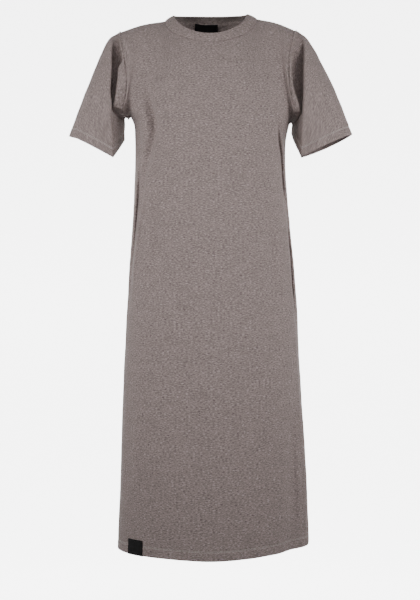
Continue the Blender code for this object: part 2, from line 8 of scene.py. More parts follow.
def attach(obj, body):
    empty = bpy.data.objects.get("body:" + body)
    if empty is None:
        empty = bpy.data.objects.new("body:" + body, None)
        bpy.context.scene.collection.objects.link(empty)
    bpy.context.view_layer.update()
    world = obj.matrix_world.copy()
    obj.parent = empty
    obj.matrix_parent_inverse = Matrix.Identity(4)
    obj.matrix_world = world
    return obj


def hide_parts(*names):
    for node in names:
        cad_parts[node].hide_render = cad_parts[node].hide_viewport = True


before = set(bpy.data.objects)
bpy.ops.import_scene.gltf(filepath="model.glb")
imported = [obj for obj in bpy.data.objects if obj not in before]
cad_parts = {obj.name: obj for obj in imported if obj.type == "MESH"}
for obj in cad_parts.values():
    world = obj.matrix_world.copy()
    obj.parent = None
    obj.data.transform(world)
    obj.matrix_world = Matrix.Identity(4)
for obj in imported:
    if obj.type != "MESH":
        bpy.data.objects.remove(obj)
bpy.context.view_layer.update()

# Sizes are millimetres until a mesh is made. The dress hangs along Z and its front faces -Y.
mm = 0.001
frontSide = -1
backSide = 1
bodyMiddle = (0, 0, -560)   # a place inside the dress, from which outward is told
wholeTurn = 6.2832
scene = bpy.context.scene

photoView = {"place": (0.0, -2.15, -0.601), "lens": 60.0, "sensor": 36.0}


def setCamera(view):
    data = bpy.data.cameras.new("camera")
    data.lens = view["lens"]
    data.sensor_width = view["sensor"]
    data.sensor_fit = "AUTO"
    data.clip_end = 60.0
    camera = bpy.data.objects.new("camera", data)
    camera.location = view["place"]
    camera.rotation_euler = (np.pi / 2, 0.0, 0.0)
    scene.collection.objects.link(camera)
    scene.camera = camera


setCamera(photoView)
print("camera placed")


# Curves and directions

def smoothCurve(knots, values, at):
    knots = np.asarray(knots, float)
    values = np.asarray(values, float)
    slopes = np.gradient(values, knots)
    i = np.clip(np.searchsorted(knots, at) - 1, 0, len(knots) - 2)
    span = knots[i + 1] - knots[i]
    t = (at - knots[i]) / span
    rise = t * t * (3 - 2 * t)
    leave = t * (1 - t) ** 2 * span * slopes[i]
    arrive = t * t * (t - 1) * span * slopes[i + 1]
    return values[i] * (1 - rise) + values[i + 1] * rise + leave + arrive


def cubicCurve(start, first, second, end, t):
    t = t[..., None]
    s = 1 - t
    return start * s**3 + 3 * first * t * s**2 + 3 * second * t**2 * s + end * t**3


def unit(vectors):
    length = np.linalg.norm(vectors, axis=-1, keepdims=True)
    return vectors / np.maximum(length, 1e-12)


def softStep(x):
    x = np.clip(x, 0, 1)
    return x * x * (3 - 2 * x)


# The body: sections up to the underarm, then lines up to the armholes, shoulders and neck

section = namedtuple("section", "name height right left front back roundFront roundBack")
shoulder = namedtuple("shoulder", "neckX neckZ tipX tipZ")
neckLoop = namedtuple("neckLoop", "right left sideY rightZ leftZ front back dip")
bodyLine = namedtuple("bodyLine", "name share upper lower")
bodyFold = namedtuple("bodyFold", "panel topZ topAngle lowZ lowAngle width depth")

body = {
    "underarmHeight": -211.0,
    "underarmTilt": -6.5,
    "hemHeight": -1122.0,
    "hemTilt": 7.0,
    "hemLift": 6.0,
    "sections": [
        section("hem", -1122, 197, 211, 160, 150, 1.80, 2.0),
        section("calf", -990, 192, 207, 157, 146, 1.86, 2.0),
        section("knee", -860, 188, 199, 153, 142, 1.94, 2.0),
        section("thigh", -730, 183, 191, 147, 136, 2.02, 2.1),
        section("hip", -600, 176, 185, 140, 129, 2.08, 2.1),
        section("belly", -500, 170, 176, 136, 119, 2.12, 2.1),
        section("waist", -400, 163, 167, 133, 110, 2.16, 2.2),
        section("ribs", -300, 160, 161, 131, 108, 2.20, 2.2),
        section("bust", -255, 160, 163, 129, 110, 2.20, 2.2),
        section("underarm", -226, 162, 169, 127, 110, 2.20, 2.2),
        section("armhole", -204, 171, 174, 124, 110, 2.20, 2.2),
    ],
    "shoulders": {-1: shoulder(97, 1, 192, -23), 1: shoulder(101, 6, 184, -20)},
    "shoulderRise": 4.0,
    "neckRise": 11.0,
    "seamYAtNeck": 12.0,
    "seamYAtTip": 8.0,
    "neckShare": 0.5,
    "neckSeam": neckLoop(97, 101, 12.0, 1, 6, (-79, -66), (76, 13), 1.1),
    "armholeReach": 0.30,
    "foldFade": 90.0,
    "lines": {
        frontSide: [
            bodyLine("centre", 0.00, (0, -62, -2), (0, -3, 70)),
            bodyLine("neck", 0.25, (1, -58, -10), (-2, -3, 72)),
            bodyLine("neck side", 0.50, (3, -48, -34), (-4, 4, 80)),
            bodyLine("shoulder", 0.75, (3, -56, -24), (-2, 4, 78)),
            bodyLine("armhole", 1.00, (4, -62, -16), (-2, -8, 60)),
        ],
        backSide: [
            bodyLine("centre", 0.00, (0, 96, 70), (0, 4, 90)),
            bodyLine("neck", 0.30, (1, 86, 66), (-2, 4, 84)),
            bodyLine("neck side", 0.50, (2, 62, 14), (-3, 2, 80)),
            bodyLine("shoulder", 0.75, (3, 58, -22), (-2, 2, 78)),
            bodyLine("armhole", 1.00, (4, 62, -16), (-2, 8, 60)),
        ],
    },
    "folds": [
        bodyFold(frontSide, -175, -76, -350, -66, 8, 6),
        bodyFold(frontSide, -300, -68, -600, -64, 9, -4),
        bodyFold(frontSide, -400, -38, -640, -35, 10, 4),
        bodyFold(frontSide, -215, 58, -340, 56, 7, 6),
        bodyFold(frontSide, -420, 41, -680, 44, 11, 4),
        bodyFold(frontSide, -820, 60, -1122, 55, 7, 5),
        bodyFold(frontSide, -780, 72, -1122, 70, 9, -5),
        bodyFold(frontSide, -600, -14, -1122, -18, 16, 3),
        bodyFold(backSide, -150, -64, -340, -54, 9, 7),
        bodyFold(backSide, -150, 62, -360, 52, 9, 6),
        bodyFold(backSide, -330, -30, -640, -26, 12, 6),
        bodyFold(backSide, -340, 24, -700, 30, 12, 5),
        bodyFold(backSide, -520, 4, -1122, 8, 14, 5),
        bodyFold(backSide, -640, -46, -1122, -44, 13, 5),
        bodyFold(backSide, -700, 50, -1122, 47, 12, 6),
    ],
}

halfLoop = namedtuple("halfLoop", "high low corner turn")
armRing = namedtuple("armRing", "name steps top under front back")

sleeves = {
    "cornerShare": 0.75,
    -1: [
        armRing("armhole seam", 0, (192, 8, -23), (171, 0, -204.5),
                halfLoop((191, -62, -62), (160, -62, -140), (184, -44, -200), (182, -22, -211)),
                halfLoop((190, 62, -58), (168, 74, -150), (179, 47, -196), (180, 33, -211))),
        armRing("near the body", 2, (197, 8, -25), (181, 5, -205),
                halfLoop((184, -38, -68), (186, -57, -125), (203, -51, -194), (198, -26, -206)),
                halfLoop((193, 50, -60), (184, 66, -140), (195, 49, -190), (193, 34, -207))),
        armRing("valley", 2, (204, 8, -29), (184, 8, -211),
                halfLoop((204, -26, -50), (205, -19, -140), (207, -39, -199), (200, -18, -212)),
                halfLoop((205, 44, -46), (203, 34, -140), (202, 38, -196), (196, 22, -209))),
        armRing("ridge", 2, (217, 8, -38), (184, 9, -219),
                halfLoop((208, -40, -80), (204, -60, -138), (207, -57, -204), (197, -30, -222)),
                halfLoop((215, 48, -68), (206, 66, -135), (202, 56, -202), (194, 32, -216))),
        armRing("middle", 3, (263, 6, -141), (184, 10, -237),
                halfLoop((260, -45, -152), (240, -66, -190), (205, -57, -252), (195, -30, -254)),
                halfLoop((261, 50, -146), (240, 72, -176), (200, 56, -230), (192, 34, -240))),
        armRing("hem", 3, (303, 4, -248), (184, 10, -255),
                halfLoop((292, -45, -253), (258, -64, -272), (203, -52, -301), (196, -26, -284)),
                halfLoop((296, 50, -246), (250, 70, -248), (198, 52, -259), (190, 32, -259))),
    ],
    1: [
        armRing("armhole seam", 0, (184, 8, -20), (171.5, 0, -217.5),
                halfLoop((166, -58, -54), (156, -66, -140), (177, -48, -204), (177, -24, -219)),
                halfLoop((182, 62, -58), (162, 74, -150), (173, 47, -205), (175, 33, -220))),
        armRing("near the body", 2, (189, 8, -22), (176, 6, -218),
                halfLoop((167, -42, -62), (167, -62, -124), (188, -52, -203), (186, -28, -218)),
                halfLoop((186, 50, -60), (176, 66, -145), (186, 49, -200), (185, 34, -218))),
        armRing("valley", 2, (195, 8, -26), (177, 9, -222),
                halfLoop((197, -24, -47), (200, -10, -130), (193, -38, -207), (187, -16, -221)),
                halfLoop((197, 44, -44), (196, 34, -142), (191, 38, -204), (187, 22, -219))),
        armRing("ridge", 2, (209, 8, -37), (177, 10, -227),
                halfLoop((202, -40, -76), (196, -60, -132), (195, -58, -208), (187, -30, -228)),
                halfLoop((207, 48, -68), (198, 66, -140), (194, 56, -206), (187, 32, -223))),
        armRing("middle", 3, (266, 6, -143), (177, 12, -234),
                halfLoop((259, -45, -154), (235, -66, -190), (193, -58, -252), (184, -30, -250)),
                halfLoop((262, 50, -150), (238, 70, -190), (196, 54, -246), (188, 32, -242))),
        armRing("hem", 3, (306, 4, -244), (176, 13, -241),
                halfLoop((292, -45, -251), (254, -64, -270), (192, -52, -299), (181, -30, -275)),
                halfLoop((301, 36, -247), (250, 62, -272), (200, 40, -289), (188, 30, -265))),
    ],
}


def sectionSize(name, height):
    rows = body["sections"]
    return smoothCurve([s.height for s in rows], [getattr(s, name) for s in rows], height)


def sectionPoint(panel, u, height):
    angle = u * np.pi / 2
    half = np.where(u < 0, sectionSize("right", height), sectionSize("left", height))
    depth = sectionSize("front" if panel == frontSide else "back", height)
    power = 2 / sectionSize("roundFront" if panel == frontSide else "roundBack", height)
    side = np.abs(u) ** 3
    power = power * (1 - side) + side
    x = half * np.sign(u) * np.abs(np.sin(angle)) ** power
    y = panel * depth * np.abs(np.cos(angle)) ** power
    return np.stack([x, y, height + 0 * u], axis=-1)


def loopPoint(loop, panel, share):
    angle = share * np.pi / 2
    half = np.where(share < 0, loop.right, loop.left)
    middleY, middleZ = loop.front if panel == frontSide else loop.back
    sideZ = (loop.rightZ + loop.leftZ) / 2 + (loop.leftZ - loop.rightZ) / 2 * np.sin(angle)
    across = np.abs(np.cos(angle))
    y = loop.sideY + (middleY - loop.sideY) * across
    z = sideZ + (middleZ - sideZ) * across**loop.dip
    return np.stack([half * np.sin(angle), y, z], axis=-1)


def shoulderPoint(u):
    share = body["neckShare"]
    along = np.clip((np.abs(u) - share) / (1 - share), 0, 1)
    over = np.clip(np.abs(u) / share, 0, 1)
    right, left = (np.array(body["shoulders"][side], float) for side in (-1, 1))
    neckX, neckZ, tipX, tipZ = (np.where(u < 0, r, l) for r, l in zip(right, left))
    meanZ = (right[1] + left[1]) / 2
    x = np.sign(u) * (neckX * over + (tipX - neckX) * along)
    y = body["seamYAtNeck"] + (body["seamYAtTip"] - body["seamYAtNeck"]) * along
    z = meanZ + (neckZ - meanZ) * over + body["neckRise"] * (1 - over**2)
    z = z + (tipZ - neckZ) * along + body["shoulderRise"] * np.sin(np.pi * along)
    return np.stack([x, y, z], axis=-1)


def lineHandle(panel, u, end):
    rows = body["lines"][panel]
    shares = [r.share for r in rows]
    parts = [smoothCurve(shares, [getattr(r, end)[k] for r in rows], np.abs(u)) for k in range(3)]
    parts[0] = parts[0] * np.sign(u)
    return np.stack(parts, axis=-1)


def halfLoopPoint(ring, panel, share):
    half = ring.front if panel == frontSide else ring.back
    top, under, high, low, corner, turn = (np.array(p, float) for p in (ring.top, ring.under, *half))
    bend = sleeves["cornerShare"]
    down = np.clip(share / bend, 0, 1)
    beneath = np.clip((share - bend) / (1 - bend), 0, 1)[..., None]
    fall = cubicCurve(top, high, low, corner, down)
    tuck = corner * (1 - beneath) ** 2 + 2 * turn * beneath * (1 - beneath) + under * beneath**2
    return np.where((share > bend)[..., None], tuck, fall)


def armholePoint(side, panel, share):
    return halfLoopPoint(sleeves[side][0], panel, share) * np.array([side, 1, 1])


def baseLine(panel, u, w):
    foot = sectionPoint(panel, u, body["underarmHeight"] + body["underarmTilt"] * np.sin(u * np.pi / 2))
    head = shoulderPoint(u)
    lower, upper = lineHandle(panel, u, "lower"), lineHandle(panel, u, "upper")
    return cubicCurve(foot, foot + lower, head + upper, head, w)


def foldDepth(panel, u, height):
    angle = u * 90
    total = 0 * angle
    for fold in (f for f in body["folds"] if f.panel == panel):
        along = (fold.topZ - height) / (fold.topZ - fold.lowZ)
        middle = fold.topAngle + (fold.lowAngle - fold.topAngle) * along
        bell = np.exp(-(((angle - middle) / fold.width) ** 2))
        ends = np.clip((fold.topZ - height) / body["foldFade"], 0, 1)
        if fold.lowZ > body["hemHeight"]:
            ends = ends * np.clip((height - fold.lowZ) / body["foldFade"], 0, 1)
        total = total + fold.depth * bell * ends * ends * (3 - 2 * ends)
    return total


def bodyPoint(panel, u, v):
    u, v = np.broadcast_arrays(np.asarray(u, float), np.asarray(v, float))
    rise = np.clip(v, 0, 1)
    w = np.clip(v - 1, 0, 1)
    swing = np.sin(u * np.pi / 2)
    hemShape = body["hemTilt"] * (0.3 * swing + 0.7 * swing**3) + body["hemLift"] * swing**2 * (1 - swing**2)
    tilt = hemShape * (1 - rise) ** 2 + body["underarmTilt"] * swing * rise**4
    height = body["hemHeight"] + (body["underarmHeight"] - body["hemHeight"]) * rise + tilt
    low = sectionPoint(panel, u, height)
    high = baseLine(panel, u, w)
    near = softStep((np.abs(u) - 1 + body["armholeReach"]) / body["armholeReach"])[..., None]
    for side in (-1, 1):
        pull = armholePoint(side, panel, 1 - w) - baseLine(panel, side + 0 * u, w)
        high = high + np.where((u * side > 0)[..., None], pull * near, 0)
    point = np.where((v > 1)[..., None], high, low)
    inward = np.stack([-swing, -panel * np.cos(u * np.pi / 2), 0 * u], axis=-1)
    sideFade = np.clip((1 - np.abs(u)) * 6, 0, 1)
    return point + inward * (foldDepth(panel, u, point[..., 2]) * sideFade)[..., None]


def neckCut(panel, u):
    low, high = 0.3 + 0 * u, 1.0 + 0 * u
    seam = body["neckSeam"]
    for _ in range(40):
        middle = (low + high) / 2
        point = bodyPoint(panel, u, 1 + middle)
        half = np.where(u < 0, seam.right, seam.left)
        share = np.arcsin(np.clip(point[..., 0] / half, -1, 1)) * 2 / np.pi
        edge = loopPoint(seam, panel, share)
        above = point[..., 2] > edge[..., 2] if panel == frontSide else point[..., 1] < edge[..., 1]
        low, high = np.where(above, low, middle), np.where(above, middle, high)
    return np.where(np.abs(u) < body["neckShare"] - 1e-9, low, 1.0)


def panelPlaces(panel, columns, rows):
    share = body["neckShare"]
    c, r = np.meshgrid(columns, rows)
    atTop = np.where(np.abs(c) < share, share * np.sin(np.clip(c / share, -1, 1) * np.pi / 2), c)
    cut = neckCut(panel, atTop[0])
    along = np.clip(r - 1, 0, 1)
    return c + (atTop - c) * softStep(along), np.where(r > 1, 1 + along * cut, r)


def denseSleeve(side, t, fineness):
    share = np.where(t <= 1, t, 2 - t)
    axes = np.array([side, 1, 1])
    loops = []
    for ring in sleeves[side]:
        front, back = halfLoopPoint(ring, frontSide, share), halfLoopPoint(ring, backSide, share)
        loops.append(np.where((t <= 1)[:, None], front, back) * axes)
    loops = np.array(loops)
    gaps = np.linalg.norm(np.diff(loops, axis=0), axis=2)
    knots = np.concatenate([np.zeros((1, len(t))), np.cumsum(np.sqrt(gaps), axis=0)])
    slopes = np.empty_like(loops)
    for j in range(len(t)):
        slopes[:, j] = np.gradient(loops[:, j], knots[:, j], axis=0)
    rings = [loops[0]]
    for k, ring in enumerate(sleeves[side][1:]):
        span = (knots[k + 1] - knots[k])[:, None]
        count = ring.steps * fineness
        for s in np.arange(1, count + 1) / count:
            rise = s * s * (3 - 2 * s)
            leave = s * (1 - s) ** 2 * span * slopes[k]
            arrive = s * s * (s - 1) * span * slopes[k + 1]
            rings.append(loops[k] * (1 - rise) + loops[k + 1] * rise + leave + arrive)
    return np.array(rings)


# Working on grids of points

def gridNormals(grid, closed, inside):
    rows = np.gradient(grid, axis=0)
    if closed:
        columns = (np.roll(grid, -1, axis=1) - np.roll(grid, 1, axis=1)) / 2
    else:
        columns = np.gradient(grid, axis=1)
    normals = unit(np.cross(rows, columns))
    outward = np.sum(normals * (grid - np.asarray(inside)), axis=-1).mean()
    return normals if outward > 0 else -normals


def evenedOut(normals, reach, closed):
    # Averages the directions along an edge, so that its lip stays smooth round a tight corner
    if not closed:
        normals = np.pad(normals, ((reach, reach), (0, 0)), mode="edge")
    total = sum(np.roll(normals, k, axis=0) for k in range(-reach, reach + 1))
    return unit(total if closed else total[reach:-reach])


def lengthsAlong(grid, axis):
    steps = np.linalg.norm(np.diff(grid, axis=axis), axis=2)
    start = np.zeros((1, grid.shape[1])) if axis == 0 else np.zeros((grid.shape[0], 1))
    return np.concatenate([start, np.cumsum(steps, axis=axis)], axis=axis)


def readGrid(grid, row, column):
    row = np.clip(row, 0, grid.shape[0] - 1.0001)
    column = np.clip(column, 0, grid.shape[1] - 1.0001)
    r, c = row.astype(int), column.astype(int)
    a, b = (row - r)[..., None], (column - c)[..., None]
    low = grid[r, c] * (1 - b) + grid[r, c + 1] * b
    high = grid[r + 1, c] * (1 - b) + grid[r + 1, c + 1] * b
    return low * (1 - a) + high * a


def softNoise(points, size, seed):
    shift = Vector((seed * 17.3, seed * -9.1, seed * 5.7))
    flat = [noise.noise(Vector(p) / size + shift) for p in points.reshape(-1, 3)]
    return np.array(flat).reshape(points.shape[:-1])


def creaseRelief(x, z, creases):
    # Each crease is a soft trough, or a ridge where its depth is negative, along a path in x and z.
    # lean is how much wider its +x side is than its -x side.
    total = 0 * x
    for path, width, depth, lean in creases:
        path = np.array(path, float)
        places = np.linspace(0, len(path) - 1, 6 * (len(path) - 1) + 1)
        knots = np.arange(len(path))
        curve = np.stack([smoothCurve(knots, path[:, k], places) for k in range(2)], axis=1)
        reach = 3 * width * max(lean, 1)
        low, high = curve.min(axis=0) - reach, curve.max(axis=0) + reach
        near = (x > low[0]) & (x < high[0]) & (z > low[1]) & (z < high[1])
        point = np.stack([x[near], z[near]], axis=1)
        lengths = np.linalg.norm(np.diff(curve, axis=0), axis=1)
        start = np.concatenate([[0], np.cumsum(lengths)])
        best = np.full(len(point), 1e9)
        at = np.zeros(len(point))
        side = np.zeros(len(point))
        for k, (a, b) in enumerate(zip(curve[:-1], curve[1:])):
            along = (b - a) / lengths[k]
            s = np.clip((point - a) @ along, 0, lengths[k])
            away = point - (a + s[:, None] * along)
            distance = np.hypot(away[:, 0], away[:, 1])
            better = distance < best
            best = np.where(better, distance, best)
            at = np.where(better, start[k] + s, at)
            side = np.where(better, away[:, 0], side)
        ends = softStep(np.minimum(at, start[-1] - at) / (0.38 * start[-1]) + 0.02)
        spread = width * np.where(side > 0, lean, 1.0)
        total[near] += depth * ends * np.exp(-((best / spread) ** 2))
    return total


def clothUv(grid, closed):
    # Places on the flat cloth in metres: along its courses from the middle, and along its length
    ring = np.concatenate([grid, grid[:, :1]], axis=1) if closed else grid
    u = lengthsAlong(ring, 1)
    u = u - u[:, u.shape[1] // 2][:, None]
    return np.stack([u, lengthsAlong(ring, 0)], axis=-1) * mm


def shellPiece(name, grid, wall, closed, finish, inside, uv=None):
    normals = gridNormals(grid, closed, inside)
    uv = clothUv(grid, closed) if uv is None else uv
    rows, columns = grid.shape[:2]
    half = rows * columns
    outer, inner = grid + normals * wall / 2, grid - normals * wall / 2
    points = np.concatenate([outer.reshape(-1, 3), inner.reshape(-1, 3)])
    steps = np.arange(columns if closed else columns - 1)
    r, c = (a.ravel() for a in np.meshgrid(np.arange(rows - 1), steps, indexing="ij"))

    def corner(row, column, layer):
        return layer * half + row * columns + column % columns, uv[row, column]

    patches = [
        [corner(r, c, 0), corner(r, c + 1, 0), corner(r + 1, c + 1, 0), corner(r + 1, c, 0)],
        [corner(r + 1, c, 1), corner(r + 1, c + 1, 1), corner(r, c + 1, 1), corner(r, c, 1)],
    ]
    c = steps
    for row, (first, second) in ((0 * c, (0, 1)), (0 * c + rows - 1, (1, 0))):
        patches.append([corner(row, c, first), corner(row, c, second),
                        corner(row, c + 1, second), corner(row, c + 1, first)])
    if not closed:
        r = np.arange(rows - 1)
        for column, (first, second) in ((0 * r, (1, 0)), (0 * r + columns - 1, (0, 1))):
            patches.append([corner(r, column, first), corner(r, column, second),
                            corner(r + 1, column, second), corner(r + 1, column, first)])
    faces = np.concatenate([np.stack([p[0] for p in patch], axis=1) for patch in patches])
    places = np.concatenate([np.stack([p[1] for p in patch], axis=1) for patch in patches])
    a, b, d, e = (points[faces[:, k]] for k in range(4))
    volume = np.sum(a * np.cross(b, d)) + np.sum(a * np.cross(d, e))
    if volume < 0:
        faces, places = faces[:, ::-1], places[:, ::-1]
    return meshPiece(name, points, faces, places, finish)


def meshPiece(name, points, faces, places, finish):
    mesh = bpy.data.meshes.new(name)
    mesh.from_pydata((points * mm).tolist(), [], faces.tolist())
    layer = mesh.uv_layers.new(name="cloth")
    layer.data.foreach_set("uv", np.ascontiguousarray(places, dtype=np.float32).ravel())
    mesh.materials.append(finish)
    mesh.shade_smooth()
    mesh.update()
    piece = bpy.data.objects.new(name, mesh)
    scene.collection.objects.link(piece)
    return piece


# Finishes

class Value:
    # A socket that can be used in Python expressions
    def __init__(self, finish, socket):
        self.finish = finish
        self.socket = socket

    def _math(self, operation, first, second):
        return self.finish.node("ShaderNodeMath", {"operation": operation}, {0: first, 1: second})

    def __add__(self, other):
        return self._math("ADD", self, other)

    __radd__ = __add__

    def __sub__(self, other):
        return self._math("SUBTRACT", self, other)

    def __rsub__(self, other):
        return self._math("SUBTRACT", other, self)

    def __mul__(self, other):
        return self._math("MULTIPLY", self, other)

    __rmul__ = __mul__

    def __truediv__(self, other):
        return self._math("DIVIDE", self, other)

    def __pow__(self, other):
        return self._math("POWER", self, other)

    def fraction(self):
        return self._math("FRACT", self, 0.0)

    def size(self):
        return self._math("ABSOLUTE", self, 0.0)

    def sine(self):
        return self._math("SINE", self, 0.0)

    def above(self, low, high):
        return self.finish.node(
            "ShaderNodeMapRange", {"interpolation_type": "SMOOTHSTEP"},
            {"Value": self, "From Min": low, "From Max": high, "To Min": 0.0, "To Max": 1.0}, "Result")


class Finish:
    # One node material; node() adds any node from its type, settings and socket values or links
    def __init__(self, name):
        self.material = bpy.data.materials.new(name)
        self.material.use_nodes = True
        self.tree = self.material.node_tree
        self.shader = self.tree.nodes["Principled BSDF"]

    def put(self, socket, value):
        if isinstance(value, Value):
            self.tree.links.new(value.socket, socket)
        else:
            socket.default_value = value

    def node(self, kind, settings=None, sockets=None, output=0):
        made = self.tree.nodes.new(kind)
        for name, value in (settings or {}).items():
            if name == "stops":
                ramp = made.color_ramp
                while len(ramp.elements) < len(value):
                    ramp.elements.new(0.5)
                for element, (place, colour) in zip(ramp.elements, value):
                    element.position = place
                    element.color = (*colour, 1)
            else:
                setattr(made, name, value)
        for name, value in (sockets or {}).items():
            self.put(made.inputs[name], value)
        return Value(self, made.outputs[output])

    def cloth(self):
        # The piece's own flat places, in millimetres
        uv = self.node("ShaderNodeUVMap", {"uv_map": "cloth"}, {}, "UV")
        return self.node("ShaderNodeVectorMath", {"operation": "SCALE"}, {0: uv, "Scale": 1000.0})

    def stretched(self, vector, x, y, z=1.0):
        return self.node(
            "ShaderNodeMapping", {"vector_type": "POINT"}, {"Vector": vector, "Scale": (x, y, z)})

    def speckle(self, vector, scale, detail=2.0, roughness=0.5, distortion=0.0):
        return self.node(
            "ShaderNodeTexNoise", {"noise_dimensions": "3D"},
            {"Vector": vector, "Scale": scale, "Detail": detail, "Roughness": roughness,
             "Distortion": distortion}, "Fac")

    def split(self, vector):
        parts = self.tree.nodes.new("ShaderNodeSeparateXYZ")
        self.tree.links.new(vector.socket, parts.inputs[0])
        return Value(self, parts.outputs[0]), Value(self, parts.outputs[1]), Value(self, parts.outputs[2])

    def mixColour(self, factor, first, second, blend="MIX"):
        made = self.tree.nodes.new("ShaderNodeMix")
        made.data_type = "RGBA"
        made.blend_type = blend
        self.put(made.inputs[0], factor)
        self.put(made.inputs[6], first if isinstance(first, Value) else (*first, 1))
        self.put(made.inputs[7], second if isinstance(second, Value) else (*second, 1))
        return Value(self, made.outputs[2])

    def finish(self, colour, roughness, height, bumpDistance, bumpStrength, plain):
        self.put(self.shader.inputs["Base Color"], colour)
        self.put(self.shader.inputs["Roughness"], roughness)
        bump = self.node(
            "ShaderNodeBump", {},
            {"Height": height, "Distance": bumpDistance, "Strength": bumpStrength}, "Normal")
        self.put(self.shader.inputs["Normal"], bump)
        for name, value in plain.items():
            self.shader.inputs[name].default_value = value
        return self.material


heatherCloth = {
    "base": (0.232, 0.187, 0.180),
    "light": (0.505, 0.420, 0.400),
    "dark": (0.078, 0.060, 0.058),
    "flecks": (0.20, 0.52),        # how closely flecks of 2 to 5 mm lie, across and along
    "strands": (0.50, 1.90),       # the same for single light and dark strands
    "clouds": (0.030, 0.055),      # and for the broad uneven patches
    "fleckShare": 0.72,
    "toBase": (0.30, 0.50),
    "toLight": (0.50, 0.72),
    "cloudDepth": 0.34,
    "walePitch": 0.85,
    "coursePitch": 0.62,
    "ribPitch": 1.9,
    "sheen": 0.18,
    "speckleHeight": 0.00022,
}


def heather(name, look, ribbed):
    made = Finish(name)
    flat = made.cloth()
    u, v, _ = made.split(flat)
    flecks = made.speckle(made.stretched(flat, *look["flecks"]), 1.0, 2.0, 0.62, 0.3)
    strands = made.speckle(made.stretched(flat, *look["strands"]), 1.0, 2.0, 0.6, 0.2)
    clouds = made.speckle(made.stretched(flat, *look["clouds"]), 1.0, 2.0, 0.6)
    blend = flecks * look["fleckShare"] + strands * (1 - look["fleckShare"])
    colour = made.mixColour(blend.above(*look["toBase"]), look["dark"], look["base"])
    colour = made.mixColour(blend.above(*look["toLight"]), colour, look["light"])
    shade = (clouds - 0.5) * look["cloudDepth"] + 1.0
    value = made.node("ShaderNodeCombineXYZ", {}, {0: shade, 1: shade, 2: shade})
    colour = made.node("ShaderNodeVectorMath", {"operation": "MULTIPLY"}, {0: colour, 1: value})
    if ribbed:
        side = (u / look["ribPitch"]).fraction() * 2 - 1
        knit = (1 - side * side) * 1.6 + ((v / look["coursePitch"]) * wholeTurn).sine() * 0.12
    else:
        side = ((u / look["walePitch"]).fraction() * 2 - 1).size()
        knit = (1 - side * side) * 0.5 + (((v / look["coursePitch"]) + side * 0.45) * wholeTurn).sine() * 0.22
    height = knit * 0.16 + flecks * 0.75 + strands * 0.35
    roughness = (flecks - 0.5) * 0.14 + 0.93
    return made.finish(colour, roughness, height, look["speckleHeight"], 1.0, {
        "Specular IOR Level": 0.18, "Sheen Weight": look["sheen"], "Sheen Roughness": 0.45,
        "Sheen Tint": (0.95, 0.90, 0.87, 1)})


labelCloth = {
    "colour": (0.0040, 0.0036, 0.0039),
    "thread": (0.0105, 0.0095, 0.0100),
    "pick": 0.34,
    "end": 0.26,
}


def wovenLabel(name, look):
    made = Finish(name)
    u, v, _ = made.split(made.cloth())
    ends = ((u / look["end"]) * wholeTurn).sine()
    picks = ((v / look["pick"]) * wholeTurn).sine()
    weave = ends * picks * 0.5 + 0.5
    dust = made.speckle(made.stretched(made.cloth(), 0.35, 0.35), 1.0, 3.0, 0.6)
    colour = made.mixColour(weave * 0.6 + dust.above(0.5, 0.8) * 0.4, look["colour"], look["thread"])
    roughness = weave * 0.12 + 0.50
    height = weave * 0.5 + dust * 0.6
    return made.finish(colour, roughness, height, 0.00010, 0.8, {"Specular IOR Level": 0.16})


threadLook = {
    "dress": (0.50, 0.45, 0.42),
    # pale tape thread: a painted highlight for the light caught along the neck tape's upper edge
    "tape": (0.85, 0.80, 0.76),
    "black": (0.012, 0.011, 0.012),
    "twist": 0.55,
}


def sewingThread(name, colour, look):
    made = Finish(name)
    spot = made.node("ShaderNodeTexCoord", {}, {}, "Object")
    inMillimetres = made.node("ShaderNodeVectorMath", {"operation": "SCALE"}, {0: spot, "Scale": 1000.0})
    x, y, z = made.split(inMillimetres)
    plies = (((x + y * 0.7 + z * 0.6) / look["twist"]) * wholeTurn).sine() * 0.5 + 0.5
    fuzz = made.speckle(spot, 900.0, 2.0)
    # Painted shade and highlight: the thread is darker in the grooves of its twist and lighter on its crests,
    # following the plies height, with random fuzz tone mixed in
    plyShaded, pale = tuple(c * 0.72 for c in colour), tuple(min(1, c * 1.25) for c in colour)
    tone = made.mixColour(plies * 0.5 + fuzz * 0.3, plyShaded, pale)
    return made.finish(tone, fuzz * 0.2 + 0.55, plies, 0.00008, 0.7,
                       {"Specular IOR Level": 0.35, "Sheen Weight": 0.2})


jersey = heather("heather_jersey", heatherCloth, False)
rib = heather("heather_rib", heatherCloth, True)
labelBlack = wovenLabel("label_black", labelCloth)
dressThread = sewingThread("dress_thread", threadLook["dress"], threadLook)
tapeHighlightThread = sewingThread("tape_highlight_thread", threadLook["tape"], threadLook)
blackThread = sewingThread("black_thread", threadLook["black"], threadLook)
print("finishes made")


# Front and back panels

